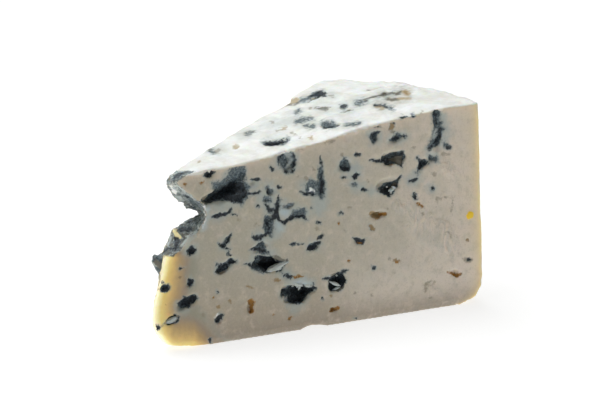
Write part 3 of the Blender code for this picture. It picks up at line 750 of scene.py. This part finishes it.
def scattered_marks(count, long, high, busy):
    marks = []
    for _ in range(count):
        place = (draw.uniform(*long), draw.uniform(*high))
        size = 0.5 + 2.6 * draw.random() ** 2.4
        kind = draw.choices(("dark", "mould", "faint", "amber", "ochre"), busy)[0]
        turn = draw.uniform(-0.7, 0.9)
        route = [place]
        for _ in range(draw.randrange(1, 4)):
            turn += draw.uniform(-0.8, 0.8)
            step = size * draw.uniform(0.5, 1.4)
            place = (place[0] + step * math.cos(turn), place[1] + step * math.sin(turn))
            route.append(place)
        marks.append((kind, size, *route))
        if kind in ("dark", "mould") and size > HAZED_FROM:
            marks.append(("haze", size * 2.4, *route))
    return marks


far_side = (inside_far < FAR_WALLS) & (inside_far <= inside_near) & ~on_top_face & (jaw < 0.5)
along_far = x * COS_HALF + y * SIN_HALF
far_marks = scattered_marks(FAR_STROKES, FAR_LONG, FAR_HIGH, FAR_BUSY)
paint(far_marks, along_far, z, 1.0, far_side)
rim_side = (inside_rim < RIM_WALLS) & ~near_side & ~far_side & ~on_top_face
round_rim = np.arctan2(y, x) * WHEEL_RADIUS
rim_marks = scattered_marks(RIM_STROKES, RIM_LONG, RIM_HIGH, RIM_BUSY)
paint(rim_marks, round_rim, z, 1.0, rim_side)

# ---------------------------------------------------------------------------------------
# The crumb
# The mould's strokes are sunk a little, the hollows and the jaws are lumpy, and the cut
# faces keep the fine upright drag of the wire and the grain of the curd.

HOLLOW_CRUMB = (0.34, 0.3, 0.16)  # height of its coarse, middle and fine lumps
JAW_CRUMB = (0.3, 0.42, 0.26)
SUNK = {  # how deep each kind is sunk, and how far outside its marks that begins and ends
    "dark": (0.55, 0.15, -0.7),
    "line": (0.4, 0.1, -0.5),
    "mould": (0.3, 0.2, -0.7),
    "amber": (0.45, 0.1, -0.6),
    "ochre": (0.22, 0.1, -0.6),
    "faint": (0.18, 0.2, -0.5),
}
SUNK_AT_MOST = 0.75
SHAKEN = {"dark": 0.25, "mould": 0.3}  # how far the middle lumps shake a kind's edge
RAISED = {"pale": (0.25, 0.2, -0.5), "gold": (0.2, 0.1, -0.4)}
DRAWN_OUT = np.array([1.0, 1.0, 0.16])  # the wire's drag is this much longer upwards

normals = read_vectors(wedge_mesh, "normal")
lump_sizes = ((2.4, 1), (1.2, 2), (0.75, 3))
coarse, middle, fine = (lumps(points, size, seed) for size, seed in lump_sizes)
drag = lumps(points * DRAWN_OUT, 1.1, 4)
patches = smoothstep(-0.25, 0.4, lumps(points, 9.0, 5))
waves = lumps(points, 7.0, 6)
plain = (1 - hollow) * (1 - jaw)

sunk = 0
for kind, (most, begin, end) in SUNK.items():
    sunk += most * smoothstep(begin, end, fields[kind] + SHAKEN.get(kind, 0) * middle)
rise = -plain * np.minimum(sunk, SUNK_AT_MOST)
for kind, (most, begin, end) in RAISED.items():
    rise += most * smoothstep(begin, end, fields[kind])
for share, crumb in ((hollow, HOLLOW_CRUMB), (jaw, JAW_CRUMB)):
    rise += share * (crumb[0] * coarse + crumb[1] * middle + crumb[2] * fine)
cut_grain = 0.05 * fine + 0.03 * patches * drag + 0.05 * middle
rise += np.where(near_side | far_side, plain * cut_grain, 0)
steady = 0.25 + 0.75 * smoothstep(0, 7, inside_far)
top_grain = steady * (0.6 * waves + 0.16 * coarse + 0.1 * middle)
rise += np.where(on_top_face, plain * top_grain, 0)
rim_grain = 0.06 * waves + 0.05 * coarse + 0.03 * fine
rise += np.where(rim_side, plain * rim_grain, 0)
rise *= smoothstep(0.0, 0.6, z)

corners = (points + normals * rise[:, None] + np.array([AXIS_X, 0.0, 0.0])) * MM
wedge_mesh.vertices.foreach_set("co", corners.ravel())
wedge_mesh.update()
wedge_mesh.shade_smooth()

# How thick the paste is, about, where light would come from behind through the thin tip and
# foot; it sets the painted glow in the finish
SLOPE = 0.76  # how fast it thickens along the camera's sight lines
FOOT_THIN, FOOT_STARTS = 1.8, 12.4  # the foot's edge, thin up to here along the near cut
THICK_ABOVE, THICKER = (25, 30), 9  # between these heights it turns this much thicker
BEHIND_FADE, BEHIND_LIT = 2.5, 0.7  # the painted glow on the far side: how soon it fades, its share

through = (x - tip_at) * math.cos(AZIMUTH) + y * math.sin(AZIMUTH) + 0.8
behind = inside_far < inside_near - 1
from_tip = np.maximum(inside_tip, 0)
through = SLOPE * np.where(behind, 0.35 * from_tip + 1.2, through)
along_near = x * COS_HALF - y * SIN_HALF
foot = FOOT_THIN + 0.56 * np.maximum(along_near - FOOT_STARTS, 0) + 0.47 * (z - lift)
light_path = np.minimum(np.maximum(through, 0), foot) + THICKER * smoothstep(*THICK_ABOVE, z)
light_path = light_path + 0.12 * np.maximum(z - 17, 0) * smoothstep(0.8, 4, through)

# What the finish reads at each point of the mesh
outwards = (normals[:, 0] * x + normals[:, 1] * y) / np.hypot(x, y)
rim_share = smoothstep(0.45, 0.8, outwards) * (inside_rim < 3)
# A painted glow along the rim's edge, strongest on the near cut, where light would come through
rim_edge_glow = np.where(near_side, 1.0, 0.35 * far_side) * np.exp(-np.maximum(inside_rim, 0) / 1.7)
carried = {kind: np.clip(field, -3, 6) for kind, field in fields.items()}
carried.update({
    "depth": depth,
    "jaw": jaw,
    "thickness": np.minimum(light_path, 12),
    "lit_share": np.where(behind, BEHIND_LIT * np.exp(-from_tip / BEHIND_FADE), 1),
    "rim": rim_share,
    "rim_edge_glow": rim_edge_glow * (1 - rim_share),
    "top": np.where(near_side | far_side, 0, 1 - smoothstep(0.35, 0.75, inside_top)),
    # a lighter band down from the near cut's top edge: painted light
    "top_edge_light": np.where(near_side, np.exp(-np.maximum(inside_top - 0.5, 0) / 1.8), 0),
})
for name, values in carried.items():
    attribute = wedge_mesh.attributes.new(name, "FLOAT", "POINT")
    attribute.data.foreach_set("value", values)

# ---------------------------------------------------------------------------------------
# The cheese's finish
# Ivory paste, greener and darker to the left and pinker and lighter towards the rim, partly
# painted shade and light, under blue haze, grey-blue fur and near-black mould; tan and amber
# pits; a painted warm glow where light would come through.

PASTE_GREEN = (0.485, 0.455, 0.362, 1)
PASTE_BROWN = (0.52, 0.43, 0.325, 1)
# Painted shade at the foot and the sole; the sole's colour also darkens some of the curd's specks
PASTE_FOOT_SHADE = (0.43, 0.37, 0.29, 1)
PASTE_SOLE = (0.35, 0.30, 0.235, 1)
PASTE_IVORY = (0.67, 0.615, 0.51, 1)
PASTE_PINK = (0.79, 0.695, 0.59, 1)
PASTE_PALE = (0.95, 0.86, 0.76, 1)
# The top's whites: painted light
PASTE_WHITE = (0.93, 0.94, 0.905, 1)
PASTE_CHALK = (0.80, 0.785, 0.725, 1)
RIM_IVORY = (0.82, 0.75, 0.60, 1)
RIM_BUFF = (0.72, 0.62, 0.46, 1)
RIM_GREY = (0.55, 0.56, 0.49, 1)
RIM_OCHRE = (0.58, 0.44, 0.25, 1)
# Painted glow at the rim's edge: its tint
EDGE_GLOW_YELLOW = (0.94, 0.76, 0.39, 1)
# Painted light, under the top edge and on the curd's ridges
LIT_EDGE_PINK = (0.95, 0.82, 0.66, 1)
# Painted glow at the rim's edge: its emission
EDGE_LIGHT = (0.08, 0.055, 0.012, 1)
HAZE = (0.43, 0.495, 0.475, 1)
HALO_AND_RIDGE_SHADE = (0.40, 0.44, 0.41, 1)
# Painted shade
MURK_SHADE = (0.37, 0.36, 0.28, 1)
VEIL = (0.52, 0.61, 0.63, 1)
SMUDGE = (0.34, 0.30, 0.22, 1)
SHADE = (0.18, 0.172, 0.138, 1)
FUR = (0.135, 0.175, 0.19, 1)
FUR_DARK = (0.05, 0.068, 0.08, 1)
FUR_LIGHT = (0.32, 0.38, 0.39, 1)
NAVY = (0.035, 0.05, 0.063, 1)
BLACK = (0.012, 0.016, 0.02, 1)
OCHRE = (0.36, 0.26, 0.135, 1)
TAN = (0.50, 0.41, 0.27, 1)
GREY = (0.52, 0.57, 0.545, 1)
AMBER = (0.38, 0.18, 0.03, 1)
AMBER_DARK = (0.15, 0.095, 0.035, 1)
GOLD = (1.0, 0.66, 0.03, 1)
CREAM = (1.0, 0.86, 0.50, 1)
CURD = (0.93, 0.95, 0.92, 1)
JAW_DARK = (0.085, 0.105, 0.105, 1)
JAW_MIDDLE = (0.27, 0.32, 0.315, 1)
JAW_LIGHT = (0.60, 0.65, 0.62, 1)
JAW_SMOKE_SHADE = (0.10, 0.095, 0.07, 1)
UNLIT = (0, 0, 0, 1)
LIT_FROM = 8.8  # thickness in millimetres below which the painted glow begins
LIT_THROUGH = (  # thickness, how fully its tint covers, the tint and the light let through; painted glow, with painted shade where the paste thickens
    (7.4, 0.5, (0.38, 0.38, 0.31, 1), UNLIT),
    (5.8, 1, (0.42, 0.33, 0.235, 1), UNLIT),
    (4.5, 1, (0.58, 0.41, 0.21, 1), UNLIT),
    (3.1, 1, (0.86, 0.63, 0.25, 1), UNLIT),
    (2.0, 1, (0.98, 0.78, 0.30, 1), (0.03, 0.02, 0, 1)),
    (1.1, 1, (1.0, 0.90, 0.54, 1), (0.16, 0.13, 0.06, 1)),
    (0.3, 1, (1.0, 0.96, 0.78, 1), (0.36, 0.34, 0.25, 1)),
)


class Tone:
    """A socket of a finish. Sums, differences and products of tones add Math nodes."""

    def __init__(self, finish, socket):
        self.finish = finish
        self.socket = socket

    def joined(self, operation, first, second):
        return self.finish.add("ShaderNodeMath", {"operation": operation}, {0: first, 1: second})

    def __add__(self, other):
        return self.joined("ADD", self, other)

    __radd__ = __add__

    def __sub__(self, other):
        return self.joined("SUBTRACT", self, other)

    def __rsub__(self, other):
        return self.joined("SUBTRACT", other, self)

    def __mul__(self, other):
        return self.joined("MULTIPLY", self, other)

    __rmul__ = __mul__


class Finish:
    """A material built node by node."""

    def __init__(self, name):
        self.material = bpy.data.materials.new(name)
        self.material.use_nodes = True
        self.tree = self.material.node_tree
        self.shader = self.tree.nodes["Principled BSDF"]
        self.place = self.add("ShaderNodeTexCoord", {}, {}, "Object")
        self.read = {}

    def add(self, kind, settings, inputs, output=0):
        """Adds a node with its settings first, then its sockets' values or links."""
        made = self.tree.nodes.new(kind)
        for name, value in settings.items():
            setattr(made, name, value)
        for name, value in inputs.items():
            self.join(made, name, value)
        return Tone(self, made.outputs[output])

    def join(self, node, name, value):
        if isinstance(value, Tone):
            self.tree.links.new(value.socket, node.inputs[name])
        else:
            node.inputs[name].default_value = value

    def use(self, name, value):
        """Gives the shader's own socket a tone, or a value that is the same all over."""
        self.join(self.shader, name, value)

    def grain(self, scale, detail=2.0, rough=0.5, place=None, swirl=0.0):
        """Noise from 0 to 1, its lumps about 1 / scale metres."""
        inputs = {"Vector": place or self.place, "Scale": scale, "Detail": detail}
        inputs.update({"Roughness": rough, "Distortion": swirl})
        return self.add("ShaderNodeTexNoise", {}, inputs)

    def cells(self, scale):
        """Distance from the middle of cells about 1 / scale metres wide."""
        return self.add("ShaderNodeTexVoronoi", {}, {"Vector": self.place, "Scale": scale})

    def carried(self, name):
        """A value that the mesh carries at each of its points."""
        if name not in self.read:
            settings = {"attribute_name": name}
            self.read[name] = self.add("ShaderNodeAttribute", settings, {}, "Fac")
        return self.read[name]

    def step(self, value, low, high, most=1.0, run="SMOOTHSTEP"):
        """Runs from 0 to the most as the value goes from low to high."""
        inputs = {"Value": value, "From Min": low, "From Max": high, "To Max": most}
        return self.add("ShaderNodeMapRange", {"interpolation_type": run}, inputs)

    def mix(self, share, first, second):
        """The second colour over the first, by that share."""
        inputs = {0: share, 6: first, 7: second}
        return self.add("ShaderNodeMix", {"data_type": "RGBA"}, inputs, 2)

    def layered(self, colour, layers):
        """The colour under layers, each with its share and its own colour."""
        for share, tint in layers:
            colour = self.mix(share, colour, tint)
        return colour

    def stretched(self, scale):
        """The places on the piece, with a scale of its own along each axis."""
        inputs = {0: self.place, 1: scale}
        return self.add("ShaderNodeVectorMath", {"operation": "MULTIPLY"}, inputs)

    def bump(self, height, distance, strength, under=None):
        inputs = {"Height": height, "Distance": distance, "Strength": strength}
        if under is not None:
            inputs["Normal"] = under
        return self.add("ShaderNodeBump", {}, inputs)


paste = Finish("cheese_paste")
wobble = paste.grain(700, 3, 0.6) - 0.5
small_wobble = paste.grain(2300, 3, 0.65) - 0.5
spikes = 0.48 - paste.cells(1150)
patch = paste.grain(70, 3, 0.55)
uneven = patch - 0.5
curd_grain = paste.grain(420, 4, 0.6)
speckle = paste.grain(1900, 4, 0.75)
chalky = paste.grain(190, 4, 0.6)
streaks = paste.grain(1, 3, 0.6, paste.stretched((300, 300, 120)), 1.6)
smears = paste.grain(1, 4, 0.6, paste.stretched((60, 60, 160)), 0.8)
side = paste.add("ShaderNodeSeparateXYZ", {}, {"Vector": paste.place}, 0)
up = paste.add("ShaderNodeSeparateXYZ", {}, {"Vector": paste.place}, 2)


def inked(kind, edge, soft, shake=1.0, most=1.0):
    """The most inside a kind's strokes and 0 outside, with a ragged edge. In millimetres."""
    ragged = paste.carried(kind) + wobble * (1.1 * shake) + small_wobble * shake
    return paste.step(ragged + spikes * (0.7 * shake), edge + soft, edge - soft, most)


def spread(kind, shake, full, none, most=1.0):
    """The most well inside a kind's strokes, fading softly outwards. In millimetres."""
    return paste.step(paste.carried(kind) + wobble * shake, none, full, most)


# The bare paste, the top, the rim and their edges
# Lighter low towards the rim, easing the foot's painted shade there: painted light
low_rim_light = paste.step(side + patch * 0.01, 0.0, 0.02)
low_rim_light = low_rim_light * paste.step(up + patch * 0.006, 0.024, 0.008, 0.42)
# The top cut is painted whiter than the near cut: mostly painted light of the bright lamp over it
top_lit_colour = paste.mix(paste.step(chalky, 0.3, 0.7), PASTE_CHALK, PASTE_WHITE)
rim_colour = paste.layered(RIM_BUFF, (
    (paste.step(patch + wobble * 0.3, 0.35, 0.62), RIM_IVORY),
    (paste.step(smears, 0.56, 0.7, 0.5), RIM_GREY),
    (paste.step(smears, 0.42, 0.3, 0.5), RIM_OCHRE),
))
colour = paste.layered(PASTE_GREEN, (
    # Left to right the near cut turns from greener and darker to ivory and pinker: partly the
    # paste's tint, partly painted shade on the left and painted light towards the rim
    (paste.step(side + uneven * 0.05, -0.045, 0.06), PASTE_IVORY),
    # Darker and browner low down and to the left: partly the paste's tint, partly painted shade
    (paste.step(up + side * 0.25 + uneven * 0.02, 0.018, -0.004, 0.6), PASTE_BROWN),
    (paste.step(side + uneven * 0.06, 0.01, 0.06), PASTE_PINK),
    (low_rim_light, PASTE_PALE),
    # Darker at the foot and darker still at the sole: painted shade
    (paste.step(up + wobble * 0.003, 0.009, 0.0, 0.75), PASTE_FOOT_SHADE),
    (paste.step(up + wobble * 0.001, 0.0035, 0.0005, 0.6), PASTE_SOLE),
    (paste.step(curd_grain, 0.5, 0.72, 0.42), PASTE_PINK),
    (paste.step(curd_grain, 0.5, 0.28, 0.4), PASTE_GREEN),
    (paste.step(speckle, 0.52, 0.66, 0.16), PASTE_PINK),
    (paste.step(speckle, 0.48, 0.34, 0.24), PASTE_SOLE),
    # Painted light just under the top edge
    (paste.carried("top_edge_light") * 0.45, LIT_EDGE_PINK),
    (paste.carried("top"), top_lit_colour),
    (paste.carried("rim"), rim_colour),
    # Painted glow along the rim's edge
    (paste.carried("rim_edge_glow") * 0.9, EDGE_GLOW_YELLOW),
))

# Painted glow of light through the thin tip and foot, in the base colour and a faint emission,
# with a band of painted shade where the paste thickens
thickness = paste.carried("thickness") * (0.76 + patch * 0.48) + wobble * 0.9
painted_glow = UNLIT
thicker = LIT_FROM
for thinner, most, tint, light in LIT_THROUGH:
    lit = paste.step(thickness, thicker, thinner, 1.0, "LINEAR") * paste.carried("lit_share")
    colour = paste.mix(lit * most, colour, tint)
    painted_glow = paste.mix(lit, painted_glow, light)
    thicker = thinner

# Smeared curd, with painted light and shade on its ridges, and what spreads softly round the marks
curd_here = spread("curd", 3, -1.5, 0.8)
colour = paste.layered(colour, (
    # Painted light and painted shade on the curd's ridges
    (paste.step(streaks, 0.5, 0.56, 0.2) * curd_here, LIT_EDGE_PINK),
    (paste.step(streaks, 0.49, 0.44, 0.16) * curd_here, HALO_AND_RIDGE_SHADE),
    # Painted shade
    (spread("murk", 3, -1.8, 2.0, 0.85), MURK_SHADE),
    (spread("haze", 3, -1.4, 2.2, 0.74) * (1 - paste.carried("top") * 0.45), HAZE),
    (spread("veil", 2, -1.2, 1.2, 0.8), VEIL),
    (spread("mould", 2, -0.1, 1.2, 0.6), HALO_AND_RIDGE_SHADE),
    (spread("dark", 2, -0.2, 0.9, 0.7), HALO_AND_RIDGE_SHADE),
    (spread("line", 2, -0.1, 0.7, 0.6), HALO_AND_RIDGE_SHADE),
    (inked("faint", 0.02, 0.3, 1.0, 0.7), SMUDGE),
))

# The broken curd of the jaws, lighter on the nose and smoky further down, where the lower jaw's
# darkness is partly its curd, partly painted shade
jaw_here = paste.step(paste.carried("jaw") + wobble * 0.6, 0.3, 0.7)
jaw_flecks = paste.grain(1500, 4, 0.7)
on_nose = paste.step(up + wobble * 0.003, 0.0395, 0.0425, 0.12)
lighter = paste.grain(620, 6, 0.72, None, 0.6) + on_nose - 0.02
smoky_shade = paste.step(up + wobble * 0.012, 0.0325, 0.0295, 0.65)
jaw_colour = paste.layered(JAW_DARK, (
    (paste.step(lighter, 0.38, 0.56), JAW_MIDDLE),
    (paste.step(lighter + jaw_flecks * 0.3, 0.69, 0.82), JAW_LIGHT),
    (paste.step(jaw_flecks, 0.49, 0.41, 0.7), JAW_DARK),
    (paste.step(jaw_flecks, 0.54, 0.62, 0.5), JAW_LIGHT),
    (smoky_shade * paste.step(jaw_flecks, 0.66, 0.5), JAW_SMOKE_SHADE),
))

# Mould in the hollows and on the marks, and the marks of other colours
deep = (paste.carried("depth") + wobble * 0.8) * (1 - jaw_here)
in_hollow = paste.step(deep, 0.35, 0.75)
fur = paste.layered(FUR_DARK, (
    (paste.step(speckle, 0.38, 0.56), FUR),
    (paste.step(speckle, 0.54, 0.7), FUR_LIGHT),
))
night = paste.mix(paste.step(speckle, 0.45, 0.62), BLACK, NAVY)
amber = paste.mix(paste.step(speckle, 0.36, 0.52), AMBER_DARK, AMBER)
blotted = inked("dark", 0.08, 0.3)
colour = paste.layered(colour, (
    (jaw_here, jaw_colour),
    (in_hollow, fur),
    (paste.step(deep, 1.0, 1.9, 0.85), night),
    (inked("mould", 0.1, 0.42, 1.1), fur),
    (blotted, fur),
    (inked("line", 0.1, 0.26, 0.5), fur),
    (inked("line", 0.0, 0.22, 0.5), night),
    (inked("dark", -0.08, 0.28), night),
    (inked("shade", 0.1, 0.25, 0.5), SHADE),
    (inked("grey", 0.05, 0.45, 1.3, 0.75), GREY),
    (inked("tan", 0.05, 0.4, 0.7), TAN),
    (inked("ochre", 0.05, 0.25, 0.6), OCHRE),
    (inked("amber", 0.04, 0.25, 0.6), amber),
    (inked("gold", 0.0, 0.15, 0.15), GOLD),
    (inked("cream", 0.0, 0.2, 0.4), CREAM),
    (inked("pale", 0.05, 0.25, 0.5), CURD),
))
# Painted glow at the rim's edge, as emission
painted_glow = paste.mix(paste.step(paste.carried("rim_edge_glow"), 0.3, 1.0), painted_glow, EDGE_LIGHT)
clean = (1 - blotted) * (1 - jaw_here) * (1 - in_hollow)
relief = paste.bump(curd_grain, 0.0005, 0.35)
relief = paste.bump(streaks * curd_here, 0.0009, 0.6, relief)
relief = paste.bump(speckle, 0.00022, 0.45, relief)

paste.use("Base Color", colour)
# The painted glow, as emission, kept off the marks, jaws and hollows
paste.use("Emission Color", paste.mix(clean, UNLIT, painted_glow))
paste.use("Emission Strength", 1.0)
paste.use("Normal", relief)
paste.use("Roughness", 0.5 + paste.step(deep, 0.3, 0.8, 0.25))
paste.use("Subsurface Weight", 0.35)
paste.use("Subsurface Radius", (1.0, 0.62, 0.3))
paste.use("Subsurface Scale", 0.0032)
paste.use("Specular IOR Level", 0.35)

wedge_mesh.materials.clear()
wedge_mesh.materials.append(paste.material)
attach(wedge, "root")
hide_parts("cheese")

# ---------------------------------------------------------------------------------------
# The loose flakes
# Slivers and crumbs of the same curd, torn by the wire and left standing in the hollows of
# the near cut, where they catch the light. Each is a ragged, slightly bent lens.

FLAKES = (  # both ends and the width in pixels, thickness and depth in mm, lean in degrees
    ((267.0, 271.8), (288.0, 260.8), 7.0, 0.8, 0.2, 38),
    ((329.6, 281.4), (340.4, 285.8), 3.6, 0.6, 0.5, 35),
    ((333.0, 289.6), (340.0, 287.0), 2.2, 0.5, 0.6, 30),
    ((164.4, 323.4), (179.4, 316.8), 5.2, 0.5, 0.1, 10),
    ((293.6, 283.6), (300.6, 284.6), 4.4, 0.9, 0.2, 20),
    ((297.0, 281.6), (302.6, 286.4), 3.4, 0.8, 0.3, 50),
    ((298.4, 289.8), (300.8, 283.6), 2.4, 0.6, 0.4, 10),
    ((304.6, 285.8), (310.6, 284.2), 3.4, 0.8, 0.3, 30),
    ((388.0, 191.0), (395.2, 188.0), 3.6, 0.8, 0.5, 30),
    ((391.6, 186.2), (396.4, 188.4), 2.0, 0.5, 0.4, 20),
)
FLAKE_DIVISION, FLAKE_RAGGED = 3, 0.45
CRUMBS = (  # place and radius in pixels, depth in mm
    ((280.2, 268.8), 1.4, 0.4),
    ((283.8, 266.8), 1.1, 0.4),
    ((281.8, 271.6), 1.5, 0.3),
    ((285.6, 269.6), 1.1, 0.3),
    ((278.8, 274.4), 1.0, 0.2),
    ((303.2, 283.4), 1.1, 0.3),
    ((308.6, 286.8), 1.0, 0.4),
    ((292.6, 286.4), 1.0, 0.3),
    ((297.0, 287.2), 0.9, 0.4),
    ((386.8, 186.8), 1.0, 0.3),
    ((391.0, 192.6), 1.3, 0.4),
    ((336.6, 275.6), 1.2, 0.6),
)
CRUMB_DIVISION, CRUMB_RAGGED = 2, 0.5
CRUMB_WIDTH, CRUMB_THICKNESS = 0.8, 0.7  # for its length
NARROWED = 0.55  # share of its width that a lens loses at its ends
BENT = 0.5  # how far it is bent, for its thickness
TORN_FINELY = 0.2
FLAKE_COLOUR = (0.58, 0.63, 0.60, 1)

cut_out = Vector((-SIN_HALF, -COS_HALF, 0))
cut_along = Vector((COS_HALF, -SIN_HALF, 0))


def on_near_cut(across, down, below):
    """The point of the near cut, or of a plane below it, that is seen at a pixel."""
    right = (across - PHOTO_WIDTH / 2) / FOCAL_PIXELS
    upwards = (PHOTO_HEIGHT / 2 - down) / FOCAL_PIXELS
    line = camera_right * right + camera_up * upwards - to_camera
    stand = Vector(about_axis([STAND])[0])
    return stand - line * ((stand.dot(cut_out) + below) / line.dot(cut_out))


def add_lens(bm, place, axes, size, division, ragged):
    """Adds a ragged lens whose axes and half sizes are given, bent along its length."""
    lens = bmesh.ops.create_icosphere(bm, subdivisions=division, radius=1)["verts"]
    shape = Matrix(axes).transposed()
    for vert in lens:
        spot = vert.co.copy()
        torn = ragged * noise.noise(spot * 1.7 + place)
        torn = 1 + torn + TORN_FINELY * noise.noise(spot * 5 + place)
        spot.y *= 1 - NARROWED * abs(spot.x) ** 1.5
        spot.z += BENT * (spot.x**2 - 0.5)
        spot *= torn
        local = shape @ Vector((spot.x * size[0], spot.y * size[1], spot.z * size[2]))
        vert.co = (place + local + Vector((AXIS_X, 0, 0))) * MM


def new_piece(name, bm):
    """An object in the scene, with the bmesh for its mesh."""
    mesh = bpy.data.meshes.new(name)
    bm.to_mesh(mesh)
    bm.free()
    piece = bpy.data.objects.new(name, mesh)
    bpy.context.scene.collection.objects.link(piece)
    return piece


bm = bmesh.new()
for start, end, width, thick, below, lean in FLAKES:
    first, last = on_near_cut(*start, below), on_near_cut(*end, below)
    along = (last - first).normalized()
    across = cut_out.cross(along)
    lean = math.radians(lean)
    edge = across * math.cos(lean) - cut_out * math.sin(lean)
    face = cut_out * math.cos(lean) + across * math.sin(lean)
    size = ((last - first).length / 2, width * PIXEL / 2, thick / 2)
    axes = (along, edge, face)
    add_lens(bm, (first + last) / 2, axes, size, FLAKE_DIVISION, FLAKE_RAGGED)
for place, radius, below in CRUMBS:
    size = [radius * PIXEL * share for share in (1, CRUMB_WIDTH, CRUMB_THICKNESS)]
    axes = (cut_along, Vector((0, 0, 1)), cut_out)
    add_lens(bm, on_near_cut(*place, below), axes, size, CRUMB_DIVISION, CRUMB_RAGGED)
flakes = new_piece("cheese_flakes", bm)
flakes.data.shade_smooth()

curd = Finish("cheese_flakes")
dimmed = curd.step(curd.grain(900, 4, 0.65), 0.5, 0.3)
curd.use("Base Color", curd.mix(dimmed, FLAKE_COLOUR, HAZE))
curd.use("Normal", curd.bump(curd.grain(1800, 4, 0.7), 0.0003, 0.6))
curd.use("Roughness", 0.45)
curd.use("Subsurface Weight", 0.3)
curd.use("Subsurface Radius", (1.0, 0.7, 0.45))
curd.use("Subsurface Scale", 0.0015)
flakes.data.materials.append(curd.material)
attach(flakes, "root")

# ---------------------------------------------------------------------------------------
# The studio
# A plain pale table, lit softly from above and behind, with a little light from the front.

TABLE_SIZE = 6.0
TABLE_COLOUR = (0.34, 0.34, 0.335, 1)
TABLE_GLOW = 0.75
ROOM_LIGHT = 0.03
AIM = Vector((0, 0, 0.025))
SOFTBOXES = {  # place, width, power and colour
    "overhead": ((-0.14, 0.48, 1.12), 1.2, 19.6, (0.95, 0.98, 1.0)),
    "left": ((-0.9, 0.1, 0.45), 0.6, 1.3, (1.0, 0.95, 0.85)),
    "right": ((0.22, -0.3, 0.2), 0.16, 0.14, (1.0, 0.96, 0.92)),
}

bm = bmesh.new()
bmesh.ops.create_grid(bm, x_segments=1, y_segments=1, size=TABLE_SIZE / 2)
table = new_piece("table", bm)
table_finish = Finish("table_white")
table_finish.use("Base Color", TABLE_COLOUR)
table_finish.use("Roughness", 0.9)
table_finish.use("Specular IOR Level", 0.1)
table_finish.use("Emission Color", (1, 1, 1, 1))
table_finish.use("Emission Strength", TABLE_GLOW)
table.data.materials.append(table_finish.material)

for name, (place, width, power, tint) in SOFTBOXES.items():
    light = bpy.data.lights.new(name, "AREA")
    light.shape = "SQUARE"
    light.size = width
    light.energy = power
    light.color = tint
    lamp = bpy.data.objects.new(name, light)
    lamp.location = place
    lamp.rotation_euler = (AIM - Vector(place)).to_track_quat("-Z", "Y").to_euler()
    bpy.context.scene.collection.objects.link(lamp)

world = bpy.data.worlds.new("room")
world.use_nodes = True
world.node_tree.nodes["Background"].inputs["Color"].default_value = (1, 1, 1, 1)
world.node_tree.nodes["Background"].inputs["Strength"].default_value = ROOM_LIGHT
bpy.context.scene.world = world
bpy.context.scene.view_settings.view_transform = "Standard"
